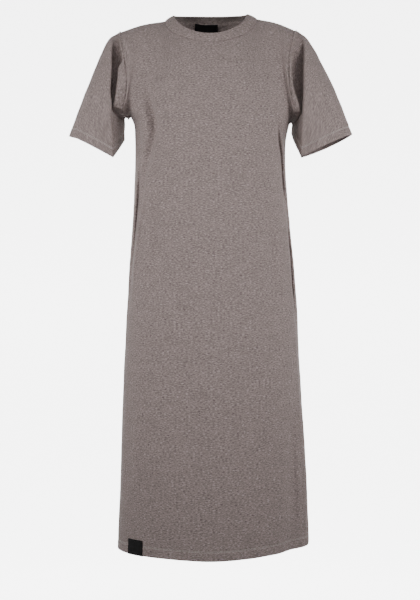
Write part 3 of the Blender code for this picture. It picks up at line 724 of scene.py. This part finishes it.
panels = {
    "wall": 1.4,
    "lowerRows": 150,
    "upperRows": 78,
    "hemRows": 13,
    "hemDepth": 21.0,
    "seamGap": 0.3,
    "grooveDepth": 0.8,
    "neckGrooveDepth": 0.35,
    "grooveWidth": 1.7,
    "lipDepth": 3.0,
    "neckLipDepth": 0.7,
    "puckerDepth": 0.6,
    "stitchGroove": 0.9,
    "ripple": 0.9,
    "foldGap": 0.25,
    "foldedRows": (12, 10, 7, 4, 2, 1),
    "flat": {frontSide: (0.60, 1.11), backSide: (0.58, 1.17)},
    "creases": {
        frontSide: [
            # path of (x, z), width, depth, lean
            # beside the armholes
            ([(-150, -56), (-154, -100), (-157, -140), (-163, -175), (-169, -216)], 11, -7.0, 1.0),
            ([(145, -56), (150, -100), (154, -140), (158, -175), (164, -216)], 11, -7.0, 1.0),
            ([(-163, -176), (-160, -198), (-159, -214)], 6, -3.0, 1.2),        # bulge under the arm
            # slant from the right underarm, then the lines and ridges at the right side
            ([(-138, -110), (-125, -175), (-112, -226), (-112, -262), (-123, -300), (-136, -350),
              (-146, -425)], 15, 20.0, 0.3),
            ([(-126, -310), (-133, -368), (-137, -401), (-146, -445), (-153, -497), (-158, -549),
              (-163, -620)], 3.2, -4.0, 1.0),
            ([(-145, -290), (-149, -368), (-151, -401), (-155, -445), (-160, -497), (-165, -549),
              (-170, -630)], 3.0, 10.5, 1.0),
            ([(-151, -290), (-155, -368), (-157, -401), (-161, -445), (-166, -497), (-171, -549),
              (-176, -630)], 3.0, -3.2, 1.0),
            ([(-113, -350), (-111, -460), (-114, -580)], 8, 4.5, 1.3),
            # lines and ridges at the left side
            ([(137, -205), (143, -262), (149, -298), (151, -335), (154, -372), (160, -440)], 3.0, 11.5, 1.0),
            ([(144, -205), (150, -262), (155.5, -298), (157, -335), (160, -372), (165, -430)], 3.0, -4.5, 1.0),
            ([(145, -385), (151, -405), (160, -445), (165, -498), (169, -550), (177, -645),
              (186, -811), (191, -930)], 3.0, -3.2, 1.0),
            ([(157, -370), (164, -443), (169, -498), (173, -550), (180, -680)], 2.8, 13.0, 1.0),
            ([(162, -370), (170, -443), (175, -498), (179, -550), (186, -680)], 3.0, -4.5, 1.0),
            ([(121, -405), (128, -500), (134, -610)], 10, 4.5, 1.1),
            ([(176, -780), (180, -900), (183, -1000), (186, -1112)], 5, -3.0, 1.0),   # near the hem at the left
            ([(-166, -760), (-170, -900), (-175, -1060)], 10, 4.0, 1.2),
            ([(-60, -640), (-68, -800), (-64, -1000)], 24, 4.6, 1.4),
            ([(40, -700), (52, -860), (60, -1060)], 22, 4.8, 1.2),
            ([(-124, -76), (-110, -112), (-92, -156)], 15, 3.4, 1.2),          # slack over the chest
            ([(124, -74), (112, -112), (98, -152)], 14, 3.4, 1.2),
            ([(-46, -330), (-10, -347), (34, -338)], 13, 2.2, 1.0),
            ([(-96, -606), (-40, -628), (24, -620)], 15, 2.0, 1.0),
        ],
        backSide: [
            ([(-156, -180), (-150, -210), (-140, -262)], 9, 3.0, 1.4),
            ([(155, -184), (148, -220), (136, -280)], 9, 3.0, 1.4),
            ([(-146, -250), (-149, -330), (-152, -430)], 9, -2.4, 1.3),
            ([(147, -262), (150, -360), (153, -470)], 10, -2.6, 1.2),
            ([(-110, -96), (-88, -130), (-80, -180)], 18, 1.8, 1.3),
            ([(112, -100), (92, -136), (84, -190)], 17, 1.7, 1.3),
            ([(-96, -388), (-40, -405), (14, -398)], 13, 2.0, 1.0),            # slack above the seat
            ([(-60, -436), (0, -452), (70, -440)], 14, 1.8, 1.0),
            ([(20, -482), (66, -496), (116, -480)], 12, 1.5, 1.0),
            ([(-120, -560), (-112, -720), (-118, -900)], 18, 2.4, 1.3),
            ([(96, -600), (104, -780), (112, -1000)], 17, 2.4, 1.2),
            ([(-20, -640), (-28, -820), (-24, -1060)], 22, 2.0, 1.3),
            ([(168, -800), (172, -930), (176, -1070)], 8, 2.8, 0.9),
            ([(-160, -820), (-164, -940), (-168, -1080)], 9, 2.6, 1.2),
        ],
    },
}


def panelColumns():
    edge = np.array([0.0, 0.006, 0.0105, 0.0155])
    # Closer columns towards the sides, where the narrow creases run
    half = np.concatenate([np.linspace(-1 + 0.022, -0.6, 46), np.linspace(-0.6, 0, 34)[1:]])
    return np.concatenate([-1 + edge, half, -half[-2::-1], (1 - edge)[::-1]])


def panelRows():
    length = body["underarmHeight"] - body["hemHeight"]
    hem = np.linspace(0, (panels["hemDepth"] + 1.5) / length, panels["hemRows"])
    upper = np.linspace(1, 1.982, panels["upperRows"] - 2)[1:]
    return np.concatenate([hem, np.linspace(hem[-1], 1, panels["lowerRows"])[1:], upper, [1.988, 1.9935, 2.0]])


def hemPuckers(x, y, fromHem, depth, amount):
    # Small ripples where the stitches of the turned-up hem draw the cloth, and the groove that they lie in
    around = np.stack([x, y, 0 * x], axis=-1)
    wave = softNoise(around, 7.0, 3) + 0.5 * softNoise(around, 3.6, 8)
    low = np.exp(-(((fromHem - depth * 0.45) / (depth * 0.5)) ** 2))
    uneven = 0.8 + 1.4 * softNoise(around, 22.0, 6)
    groove = np.exp(-(((fromHem - depth + 2.8) / 1.7) ** 2)) * np.clip(uneven, 0.3, 1.6)
    return amount * wave * low + panels["stitchGroove"] * groove


def panelSurface(panel):
    columns, rows = panelColumns(), panelRows()
    u, v = panelPlaces(panel, columns, rows)
    grid = bodyPoint(panel, u, v)
    out = gridNormals(grid, False, bodyMiddle)
    across = lengthsAlong(grid, 1)
    fromHem = lengthsAlong(grid, 0)
    fromSide = np.minimum(across, across[:, -1:] - across)
    fromTop = fromHem[-1:] - fromHem
    x, z = grid[..., 0], grid[..., 2]
    toSeams = softStep(fromSide / 12) * softStep(fromTop / 14)
    # Creases go straight back, so that those near the sides show from the front
    back = creaseRelief(x, z, panels["creases"][panel]) * toSeams
    broad = softNoise(grid * np.array([1, 1, 0.45]), 34.0, 1 + panel)
    sunk = panels["ripple"] * (broad + 0.4 * softNoise(grid, 15.0, 5)) * toSeams
    puckers = hemPuckers(x, grid[..., 1], fromHem, panels["hemDepth"], panels["puckerDepth"])
    sunk = sunk + puckers * softStep(fromSide / 8)
    atNeck = softStep((body["neckShare"] + 0.02 - np.abs(columns)) / 0.04)
    topDepth = panels["grooveDepth"] * (1 - atNeck) + panels["neckGrooveDepth"] * atNeck
    groove = panels["grooveDepth"] * np.exp(-((fromSide / panels["grooveWidth"]) ** 2))
    groove = np.maximum(groove, topDepth * np.exp(-((fromTop / panels["grooveWidth"]) ** 2)))
    away = np.array([0, 1.0 if panel == frontSide else -1.0, 0])
    return grid - out * (sunk + groove)[..., None] + away * back[..., None]


def pulledBack(grid, axis, index, gap):
    edge = np.take(grid, index, axis=axis)
    inward = np.take(grid, 1 if index == 0 else index - 1, axis=axis) - edge
    along = unit(np.gradient(edge, axis=0))
    square = unit(inward - along * np.sum(inward * along, axis=-1, keepdims=True))
    # The next line of points is put halfway between the moved edge and the line after it
    moved = grid.copy()
    step = 1 if index == 0 else -1
    place, second = [slice(None)] * 3, [slice(None)] * 3
    place[axis], second[axis] = index, index + step
    moved[tuple(place)] = edge + square * gap / 2
    moved[tuple(second)] = (moved[tuple(place)] + np.take(grid, index + 2 * step, axis=axis)) / 2
    return moved


def panelWithEdges(grid, panel):
    # Turns the seam edges inwards and folds the hem up inside
    for axis, index in ((1, 0), (1, grid.shape[1] - 1), (0, grid.shape[0] - 1)):
        grid = pulledBack(grid, axis, index, panels["seamGap"] + panels["wall"] * 0.5)
    out = gridNormals(grid, False, bodyMiddle)
    atNeck = np.abs(panelColumns()) < body["neckShare"] + 0.01
    depth = np.where(atNeck, panels["neckLipDepth"], panels["lipDepth"])[:, None]
    inward = out[-1].copy()
    # The corners at the armholes turn in with their neighbours
    inward[:5], inward[-5:] = inward[5], inward[-6]
    top = [grid[-1] - inward * depth * share for share in (0.3, 0.65, 1.0)]
    layer = panels["wall"] + panels["foldGap"]
    folded = [grid[k] - out[k] * layer for k in panels["foldedRows"]]
    bend = [grid[0] - out[0] * layer * 0.85 + (0, 0, 0.1), grid[0] - out[0] * layer * 0.5 - (0, 0, 0.3)]
    full = np.concatenate([folded, bend, grid, top])
    sides = np.concatenate([out[list(panels["foldedRows"])], out[[0, 0]], out[:-1], [inward] * 4])
    lip = [share * panels["lipDepth"] for share in (0.3, 0.65, 1.0)]
    left = [full[:, :1] - evenedOut(sides[:, 5], 4, False)[:, None] * d for d in lip[::-1]]
    right = [full[:, -1:] - evenedOut(sides[:, -6], 4, False)[:, None] * d for d in lip]
    return np.concatenate([*left, full, *right], axis=1)


surfaces = {}
pieces = {}
for panel, name, node in ((frontSide, "front_panel", "front"), (backSide, "back_panel", "back")):
    surfaces[panel] = panelSurface(panel)
    cloth = panelWithEdges(surfaces[panel], panel)
    pieces[node] = shellPiece(name, cloth, panels["wall"], False, jersey, bodyMiddle)
print("front and back panels made")


# Sleeves

sleeveCloth = {
    "wall": 1.4,
    "around": 176,
    "fineness": 7,
    "hemDepth": 20.0,
    "hemRows": (0.02, 0.08, 0.17, 0.27, 0.38, 0.5, 0.62, 0.74, 0.84, 0.92, 1.0, 1.08),
    "lipDepth": 4.0,
    "foldedRows": (1, 2, 4, 7, 9, 10, 11),
    "puckerDepth": 0.4,
    "ripple": 0.7,
    "flat": {-1: (0.44, 0.22), 1: (0.44, 0.22)},
    "names": {-1: ("right_sleeve", "sleeve_right"), 1: ("left_sleeve", "sleeve_left")},
    "creases": {
        # path of (x, z), width, depth, lean, for the front half and for the back half
        (-1, frontSide): [
            ([(-194, -34), (-193, -70), (-195, -112)], 8, 12.0, 1.0),           # hollow between seam and ridge
            ([(-199, -46), (-201, -112), (-205, -190)], 4.5, 9.0, 1.0),
            ([(-214, -60), (-226, -120), (-240, -190)], 9, 1.8, 1.2),
            ([(-212, -150), (-222, -200), (-236, -252)], 7, 1.6, 1.3),
            ([(-205, -205), (-212, -238), (-220, -275)], 6, 2.2, 1.2),
            ([(-240, -110), (-262, -160), (-280, -212)], 13, 1.2, 1.0),
        ],
        (-1, backSide): [
            ([(-212, -60), (-222, -120), (-234, -190)], 9, 2.2, 1.2),
            ([(-206, -160), (-216, -200), (-228, -236)], 7, 2.0, 1.2),
            ([(-240, -110), (-258, -160), (-276, -206)], 12, 1.6, 1.0),
        ],
        (1, frontSide): [
            ([(184, -34), (182, -76), (183, -128), (188, -196)], 8, 13.0, 1.0),
            ([(207, -56), (219, -118), (233, -190)], 9, 1.8, 0.8),
            ([(204, -150), (214, -204), (226, -256)], 7, 1.6, 0.8),
            ([(196, -208), (202, -240), (208, -276)], 6, 2.0, 0.9),
            ([(238, -112), (258, -160), (280, -214)], 13, 1.2, 1.0),
        ],
        (1, backSide): [
            ([(206, -58), (216, -120), (228, -192)], 9, 2.2, 0.8),
            ([(202, -160), (212, -204), (224, -246)], 7, 2.0, 0.8),
            ([(238, -112), (256, -160), (276, -212)], 12, 1.6, 1.0),
        ],
    },
}


def sleeveSurface(side):
    t = np.arange(sleeveCloth["around"]) * 2 / sleeveCloth["around"]
    dense = denseSleeve(side, t, sleeveCloth["fineness"])
    along = lengthsAlong(dense, 0)
    total = along[-1]
    hem = np.minimum(sleeveCloth["hemDepth"], total * 0.55)
    share = along / total
    keep = [0.0, 0.25, 0.5, 0.75]
    rows = [share[0] + (share[1] - share[0]) * k for k in keep] + list(share[1:])
    places = [row * (total - hem * 1.16) for row in rows]
    places += [total - hem * s for s in sleeveCloth["hemRows"][::-1]] + [total]
    grid = np.empty((len(places), len(t), 3))
    for j in range(len(t)):
        for k in range(3):
            grid[:, j, k] = np.interp([p[j] for p in places], along[:, j], dense[:, j, k])
    centre = grid.mean(axis=(0, 1))
    out = gridNormals(grid, True, centre)
    x, z = grid[..., 0], grid[..., 2]
    start = lengthsAlong(grid, 0)
    fromHem = start[-1:] - start
    isFront = softStep(8 - np.abs(np.where(t <= 1, t, 2 - t) - 0.5) * 16) * (t <= 1)
    isBack = softStep(8 - np.abs(np.where(t <= 1, t, 2 - t) - 0.5) * 16) * (t > 1)
    sunk = creaseRelief(x, z, sleeveCloth["creases"][side, frontSide]) * isFront
    sunk = sunk + creaseRelief(x, z, sleeveCloth["creases"][side, backSide]) * isBack
    sunk = sunk + sleeveCloth["ripple"] * softNoise(grid, 24.0, 11 + side)
    sunk = sunk * softStep(start / 10)
    sunk = sunk + hemPuckers(x, grid[..., 1], fromHem, sleeveCloth["hemDepth"], sleeveCloth["puckerDepth"])
    groove = np.exp(-((start / panels["grooveWidth"]) ** 2))
    return grid - out * (sunk + panels["grooveDepth"] * groove)[..., None], centre


def sleeveWithEdges(grid, centre):
    gap = panels["seamGap"] + sleeveCloth["wall"] * 0.5
    edge = grid[0]
    along = unit(np.roll(edge, -1, axis=0) - np.roll(edge, 1, axis=0))
    inward = grid[2] - edge
    square = unit(inward - along * np.sum(inward * along, axis=-1, keepdims=True))
    grid = grid.copy()
    grid[0] = edge + square * gap / 2
    grid[1] = (grid[0] + grid[2]) / 2
    out = gridNormals(grid, True, centre)
    inside = evenedOut(out[0], 5, True) * sleeveCloth["lipDepth"]
    lip = [grid[0] - inside * share for share in (1.0, 0.65, 0.3)]
    layer = sleeveCloth["wall"] + panels["foldGap"]
    last = len(grid) - 1
    down = unit(grid[-1] - grid[-2])
    bend = [grid[-1] - out[-1] * layer * 0.5 + down * 0.3, grid[-1] - out[-1] * layer * 0.85 - down * 0.1]
    folded = [grid[last - k] - out[last - k] * layer for k in sleeveCloth["foldedRows"]]
    return np.concatenate([lip, grid, bend, folded])


sleeveSurfaces = {}
for side in (-1, 1):
    name, node = sleeveCloth["names"][side]
    sleeveSurfaces[side], centre = sleeveSurface(side)
    cloth = sleeveWithEdges(sleeveSurfaces[side], centre)
    pieces[node] = shellPiece(name, cloth, sleeveCloth["wall"], True, jersey, centre)
print("sleeves made")


# Neckband: a strip folded double

neckband = {
    "edge": neckLoop(78, 80, 14, 14, 17, (-66, -45), (58, 24), 1.2),
    "crown": 1.2,
    "layer": 1.05,
    "halfGap": 0.62,
    "around": 120,
    "flat": (0.56, 0.046),
}


def neckSeamLine(panel, share):
    # The panel's neck edge at places from -1 to 1 between the shoulder seams
    columns = share * body["neckShare"]
    u, v = panelPlaces(panel, columns, [2.0])
    return bodyPoint(panel, u, v)[0]


def bandSurface(look):
    share = np.linspace(-1, 1, look["around"] + 1)
    lower = np.concatenate([neckSeamLine(frontSide, share[:-1]), neckSeamLine(backSide, share[:0:-1])])
    upper = np.concatenate([loopPoint(look["edge"], frontSide, share[:-1]),
                            loopPoint(look["edge"], backSide, share[:0:-1])])
    plain = lower + (upper - lower) * np.linspace(0, 1, 5)[:, None, None]
    out = gridNormals(plain, True, plain.mean(axis=(0, 1)))

    def outAt(rise):
        return unit(out[0] * (1 - rise) + out[-1] * rise)

    rises = [0.02, 0.05, 0.09, 0.14, 0.2, 0.28, 0.36, 0.45, 0.54, 0.63, 0.72, 0.8, 0.87, 0.93, 0.965]
    path = [(r, min(1, 0.25 + r * 9)) for r in rises]
    path += [(0.985, 0.8), (0.997, 0.42), (1.0, 0.0), (0.997, -0.42), (0.985, -0.8)]
    path += [(r, -1.0) for r in rises[::-1]]
    grid = []
    for rise, layer in path:
        middle = lower + (upper - lower) * rise + outAt(rise) * look["crown"] * np.sin(np.pi * rise)
        grid.append(middle + outAt(rise) * look["halfGap"] * layer)
    return np.array(grid), plain.mean(axis=(0, 1))


bandGrid, bandCentre = bandSurface(neckband)
wave = softNoise(bandGrid, 12.0, 21) * 0.35 * np.sin(np.linspace(0, np.pi, len(bandGrid)))[:, None]
bandGrid = bandGrid + gridNormals(bandGrid, True, bandCentre) * wave[..., None]
pieces["neckband"] = shellPiece("neck_rib", bandGrid, neckband["layer"], True, rib, bandCentre)
print("neckband made")


# Tape and label inside the back neck

neckTape = {"width": 9.0, "end": 0.46, "clear": 1.1, "wall": 0.8}
neckLabel = {"width": 50.0, "height": 28.0, "middle": -8.0, "wall": 0.7, "clear": 2.4}


def insideBack(columns, distances, away):
    grid = surfaces[backSide]
    inward = -gridNormals(grid, False, bodyMiddle)
    fromTop = lengthsAlong(grid[::-1], 0)
    points = []
    for distance in distances:
        rows = []
        for c in columns:
            low = int(min(c, grid.shape[1] - 2))
            line = fromTop[:, low] * (1 - c + low) + fromTop[:, low + 1] * (c - low)
            rows.append(len(grid) - 1 - np.interp(distance, line, np.arange(len(grid))))
        rows, cols = np.array(rows), np.array(columns, float)
        points.append(readGrid(grid, rows, cols) + readGrid(inward, rows, cols) * away)
    return np.array(points)


def trimPiece(name, points, wall, finish):
    uv = clothUv(points, False)
    return shellPiece(name, points, wall, False, finish, points.mean(axis=(0, 1)) + (0, 40, 0), uv)


columnPlaces = panelColumns()
tapeEnds = np.interp([-neckTape["end"], neckTape["end"]], columnPlaces, np.arange(len(columnPlaces)))
tapeColumns = np.linspace(*tapeEnds, 90)
tapeDistances = [0.6, 0.9, 1.6, 3.0, 4.8, 6.6, 8.0, 8.7, 9.0]
tapeAway = panels["wall"] / 2 + neckTape["clear"] + neckTape["wall"] / 2
tapeGrid = insideBack(tapeColumns, tapeDistances, tapeAway)
pieces["neck_tape"] = trimPiece("back_neck_tape", tapeGrid, neckTape["wall"], jersey)

topRow = surfaces[backSide][-1]
labelEnds = [neckLabel["middle"] - neckLabel["width"] / 2, neckLabel["middle"] + neckLabel["width"] / 2]
labelEnds = np.interp(labelEnds, topRow[:, 0], np.arange(len(topRow)))
labelColumns = np.linspace(*labelEnds, 30)
labelDistances = np.linspace(1.0, neckLabel["height"], 18)
labelAway = panels["wall"] / 2 + neckLabel["clear"] + neckLabel["wall"] / 2
labelGrid = insideBack(labelColumns, labelDistances, labelAway)
lift = np.linspace(0, 1, 18)[:, None] ** 2 * (0.6 + 0.5 * np.sin(np.linspace(0.4, 5.6, 30)))[None, :]
labelGrid = labelGrid + np.array([0, -1, 0]) * lift[..., None]
pieces["neck_label"] = trimPiece("back_neck_label", labelGrid, neckLabel["wall"], labelBlack)
print("neck tape and label made")


# Label folded over the front hem

hemLabel = {"width": 45.0, "height": 31.0, "inside": 14.0, "angle": -53.0, "wall": 0.7, "clear": 0.55}


def hemLabelGrid(look):
    grid = surfaces[frontSide]
    out = gridNormals(grid, False, bodyMiddle)
    columns = panelColumns()
    centre = np.interp(look["angle"] / 90, columns, np.arange(len(columns)))
    across = lengthsAlong(grid[:1], 1)[0]
    middle = np.interp(centre, np.arange(len(across)), across)
    sides = np.interp([middle - look["width"] / 2, middle + look["width"] / 2], across, np.arange(len(across)))
    columns = np.linspace(*sides, 18)
    up = lengthsAlong(grid, 0)[:, int(centre)]
    outside = np.interp(np.linspace(look["height"], 0, 20), up, np.arange(len(up)))
    inside = np.interp(np.linspace(0, look["inside"], 9), up, np.arange(len(up)))
    front = panels["wall"] / 2 + look["clear"] + look["wall"] / 2
    behind = panels["wall"] * 1.5 + panels["foldGap"] + look["clear"] + look["wall"] / 2

    def labelRow(row, away):
        places = row + 0 * columns
        return readGrid(grid, places, columns) + readGrid(out, places, columns) * away

    rows = [labelRow(row, front) for row in outside]
    first = [labelRow(row, -behind) for row in inside]
    drop = np.array([0, 0, -1.0])
    rows[-1] = rows[-1] + drop * 0.3
    under = ((0.12, 0.75), (0.35, 1.15), (0.65, 1.15), (0.88, 0.75))   # share of the way, drop
    edge = [rows[-1] + (first[0] - rows[-1]) * share + drop * low for share, low in under]
    return np.array([*rows, *edge, *first])


hemGrid = hemLabelGrid(hemLabel)
hemCentre = hemGrid.mean(axis=(0, 1))
pieces["hem_label"] = shellPiece("hem_side_label", hemGrid, hemLabel["wall"], False, labelBlack, hemCentre)
print("hem label made")


# Stitches: one small thread loop on every place along a path

stitchLook = {
    # pitch, length and thickness of one stitch
    "hems": (3.1, 2.6, 0.95),
    # the thick tape stitches carry a painted highlight along the tape's upper edge
    "tape": (2.6, 2.6, 1.7),
    "labels": (2.2, 1.7, 0.4),
    "sides": 6,
    "rings": 5,
    "panelRows": (17.0, 19.6),
    "sleeveRows": (15.6, 18.2),
    "clear": 0.05,
}


def stitchTree(finish):
    tree = bpy.data.node_groups.new("stitch_row", "GeometryNodeTree")
    face = tree.interface
    face.new_socket("Path", in_out="INPUT", socket_type="NodeSocketGeometry")
    for name, value in (("Pitch", 0.003), ("Length", 0.0025), ("Thickness", 0.0006)):
        socket = face.new_socket(name, in_out="INPUT", socket_type="NodeSocketFloat")
        socket.default_value = value
    face.new_socket("Stitches", in_out="OUTPUT", socket_type="NodeSocketGeometry")

    def add(kind, settings=None, **links):
        made = tree.nodes.new(kind)
        for name, value in (settings or {}).items():
            setattr(made, name, value)
        for name, value in links.items():
            socket = made.inputs[name.replace("_", " ")]
            if isinstance(value, bpy.types.NodeSocket):
                tree.links.new(value, socket)
            else:
                socket.default_value = value
        return made

    entry = add("NodeGroupInput")
    path = add("GeometryNodeMeshToCurve", Mesh=entry.outputs["Path"])
    spaced = add("GeometryNodeResampleCurve", {"mode": "LENGTH"},
                 Curve=path.outputs["Curve"], Length=entry.outputs["Pitch"])
    bead = add("GeometryNodeMeshUVSphere",
               Segments=stitchLook["sides"], Rings=stitchLook["rings"], Radius=0.5)
    thickness = entry.outputs["Thickness"]
    size = add("ShaderNodeCombineXYZ", X=entry.outputs["Length"], Y=thickness, Z=thickness)
    shaped = add("GeometryNodeTransform", Geometry=bead.outputs["Mesh"], Scale=size.outputs["Vector"])
    tangent = add("GeometryNodeInputTangent")
    turn = add("FunctionNodeAlignRotationToVector", {"axis": "X"}, Vector=tangent.outputs["Tangent"])
    uneven = add("FunctionNodeRandomValue", {"data_type": "FLOAT"})
    for socket in uneven.inputs:
        if socket.name == "Min" and socket.type == "VALUE":
            socket.default_value = 0.88
        if socket.name == "Max" and socket.type == "VALUE":
            socket.default_value = 1.1
        if socket.name == "Seed":
            socket.default_value = 4
    factor = [s for s in uneven.outputs if s.type == "VALUE"][0]
    placed = add("GeometryNodeInstanceOnPoints",
                 Points=spaced.outputs["Curve"], Instance=shaped.outputs["Geometry"],
                 Rotation=turn.outputs["Rotation"], Scale=factor)
    real = add("GeometryNodeRealizeInstances", Geometry=placed.outputs["Instances"])
    painted = add("GeometryNodeSetMaterial", Geometry=real.outputs["Geometry"], Material=finish)
    result = add("NodeGroupOutput")
    tree.links.new(painted.outputs["Geometry"], result.inputs["Stitches"])
    return tree


def stitchRow(name, paths, finish, pitch, length, thick):
    # paths are lists of points in millimetres; the result is one plain mesh
    points, edges = [], []
    for path in paths:
        first = len(points)
        points += [tuple(p * mm) for p in path]
        edges += [(k, k + 1) for k in range(first, len(points) - 1)]
    mesh = bpy.data.meshes.new(name + "_path")
    mesh.from_pydata(points, edges, [])
    carrier = bpy.data.objects.new(name + "_path", mesh)
    scene.collection.objects.link(carrier)
    tree = stitchTree(finish)
    modifier = carrier.modifiers.new("stitches", "NODES")
    modifier.node_group = tree
    sockets = {item.name: item.identifier for item in tree.interface.items_tree if item.in_out == "INPUT"}
    for key, value in (("Pitch", pitch), ("Length", length), ("Thickness", thick)):
        modifier[sockets[key]] = value * mm
    bpy.context.view_layer.update()
    grown = carrier.evaluated_get(bpy.context.evaluated_depsgraph_get())
    made = bpy.data.meshes.new_from_object(grown)
    carrier.modifiers.remove(modifier)
    bpy.data.objects.remove(carrier)
    made.name = name
    made.shade_smooth()
    piece = bpy.data.objects.new(name, made)
    scene.collection.objects.link(piece)
    return piece


def panelPath(panel, fromHem, away):
    grid = surfaces[panel]
    out = gridNormals(grid, False, bodyMiddle)
    up = lengthsAlong(grid, 0)
    columns = np.arange(1, grid.shape[1] - 1)
    rows = np.array([np.interp(fromHem, up[:, c], np.arange(len(grid))) for c in columns])
    columns = columns.astype(float)
    return readGrid(grid, rows, columns) + readGrid(out, rows, columns) * away


def sleevePath(side, fromHem, away):
    grid = sleeveSurfaces[side]
    out = gridNormals(grid, True, grid.mean(axis=(0, 1)))
    start = lengthsAlong(grid, 0)
    points = []
    for c in range(grid.shape[1]):
        toHem = start[:, c] - start[-1, c]
        row = np.array([np.interp(-min(fromHem, start[-1, c] * 0.5), toHem, np.arange(len(grid)))])
        column = np.array([float(c)])
        points.append((readGrid(grid, row, column) + readGrid(out, row, column) * away)[0])
    points.append(points[0])
    return np.array(points)


onTop = panels["wall"] / 2 + stitchLook["clear"]
seams = {
    "front": [panelPath(frontSide, d, onTop) for d in stitchLook["panelRows"]],
    "back": [panelPath(backSide, d, onTop) for d in stitchLook["panelRows"]],
    "right": [sleevePath(-1, d, onTop) for d in stitchLook["sleeveRows"]],
    "left": [sleevePath(1, d, onTop) for d in stitchLook["sleeveRows"]],
}
stitched = {}
for key, name in (("front", "front_hem_stitches"), ("back", "back_hem_stitches"),
                  ("right", "right_sleeve_hem_stitches"), ("left", "left_sleeve_hem_stitches")):
    stitched[key] = stitchRow(name, seams[key], dressThread, *stitchLook["hems"])

tapeOut = gridNormals(tapeGrid, False, tapeGrid.mean(axis=(0, 1)) + (0, 40, 0))
# Real stitches along the tape, made pale and thick: a painted highlight for the light along the tape's upper
# edge
tapePaths = [tapeGrid[2] + tapeOut[2] * (neckTape["wall"] / 2 + stitchLook["clear"])]
stitched["tape"] = stitchRow("neck_tape_stitches", tapePaths, tapeHighlightThread, *stitchLook["tape"])
labelOut = gridNormals(labelGrid, False, labelGrid.mean(axis=(0, 1)) + (0, 40, 0))
labelTop = neckLabel["wall"] / 2 + stitchLook["clear"]
labelPaths = [labelGrid[:, c] + labelOut[:, c] * labelTop for c in (1, 28)]
stitched["neckLabel"] = stitchRow("neck_label_stitches", labelPaths, blackThread, *stitchLook["labels"])
hemOut = gridNormals(hemGrid, False, hemCentre)
hemPaths = [hemGrid[2] + hemOut[2] * (hemLabel["wall"] / 2 + stitchLook["clear"])]
stitched["hemLabel"] = stitchRow("hem_label_stitches", hemPaths, blackThread, *stitchLook["labels"])
print("stitches made")


# Light, floor and backdrop

studio = {
    "floorHeight": -2.6,
    "reach": 7.0,
    "wallHeight": 7.5,
    "world": 0.05,
    "glow": 5.0,
    "curve": 2.0,
    "glowsBehind": (2.2, 4.2),
    "glowsWithin": (2.6, 4.2),
    "lights": [
        # name, place, aim, width, height, power, spread in degrees, colour
        ("left softbox", (-1.5, -1.12, 0.02), (0.0, 0.0, -0.45), 0.8, 0.8, 4.55, 70, (1.0, 0.988, 0.975)),
        ("right softbox", (1.5, -1.12, 0.02), (0.0, 0.0, -0.45), 0.8, 0.8, 4.2, 70, (1.0, 0.988, 0.975)),
        ("right kicker", (1.9, -0.22, -0.85), (0.12, 0.0, -0.65), 0.5, 0.9, 0.6, 60, (1.0, 0.99, 0.98)),
        ("left kicker", (-1.9, -0.3, -0.85), (-0.12, 0.0, -0.65), 0.5, 0.9, 0.3, 60, (1.0, 0.99, 0.98)),
        ("front fill", (0.0, -2.3, 0.3), (0.0, 0.0, -0.4), 1.0, 0.8, 5.0, 180, (0.98, 0.99, 1.0)),
    ],
}


def paleStage(look):
    # One round floor that curves up into a wall on every side. The part behind the dress glows white.
    curve = look["curve"]
    flatReach = look["reach"] - curve
    profile = [(0.0, 0.0), (1.5, 0.0), (3.0, 0.0), (flatReach, 0.0)]
    profile += [(flatReach + curve * np.sin(a), curve - curve * np.cos(a))
                for a in np.linspace(0.1, np.pi / 2, 14)]
    profile.append((look["reach"], look["wallHeight"]))
    turns = 96
    points = [(0.0, 0.0, look["floorHeight"])]
    for radius, height in profile[1:]:
        for k in range(turns):
            angle = 2 * np.pi * k / turns
            points.append((radius * np.cos(angle), radius * np.sin(angle), look["floorHeight"] + height))
    faces = [(0, 1 + k, 1 + (k + 1) % turns) for k in range(turns)]
    for ring in range(len(profile) - 2):
        a = 1 + ring * turns
        for k in range(turns):
            n = (k + 1) % turns
            faces.append((a + k, a + turns + k, a + turns + n, a + n))
    mesh = bpy.data.meshes.new("pale_stage")
    mesh.from_pydata(points, [], faces)
    mesh.shade_smooth()
    made = Finish("pale_paint")
    spot = made.node("ShaderNodeTexCoord", {}, {}, "Object")
    x, y, z = made.split(spot)
    behind = y.above(*look["glowsBehind"]) * (1 - x.size().above(*look["glowsWithin"]))
    cloud = made.speckle(spot, 0.7, 2.0)
    tone = made.mixColour(behind, (0.34, 0.34, 0.34), (0.80, 0.80, 0.80))
    glow = made.mixColour(behind, (0.02, 0.02, 0.02), (1.0, 1.0, 1.0))
    made.put(made.shader.inputs["Emission Color"], glow)
    made.finish(tone, cloud * 0.1 + 0.8, cloud, 0.0005, 0.2, {"Emission Strength": look["glow"]})
    mesh.materials.append(made.material)
    stage = bpy.data.objects.new("pale_stage", mesh)
    scene.collection.objects.link(stage)


def lightStudio(look):
    world = bpy.data.worlds.new("studio")
    world.use_nodes = True
    world.node_tree.nodes["Background"].inputs["Color"].default_value = (1, 1, 1, 1)
    world.node_tree.nodes["Background"].inputs["Strength"].default_value = look["world"]
    scene.world = world
    for name, place, aim, width, height, power, spread, colour in look["lights"]:
        data = bpy.data.lights.new(name, "AREA")
        data.shape = "RECTANGLE"
        data.size = width
        data.size_y = height
        data.energy = power
        data.spread = np.radians(spread)
        data.color = colour
        lamp = bpy.data.objects.new(name, data)
        lamp.location = place
        lamp.rotation_euler = (Vector(aim) - Vector(place)).to_track_quat("-Z", "Y").to_euler()
        scene.collection.objects.link(lamp)


paleStage(studio)
lightStudio(studio)
print("stage and lights set")


# What each piece stands for and rides on

for node, piece in pieces.items():
    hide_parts(node)
    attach(piece, "root")
for key, piece in stitched.items():
    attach(piece, "root")
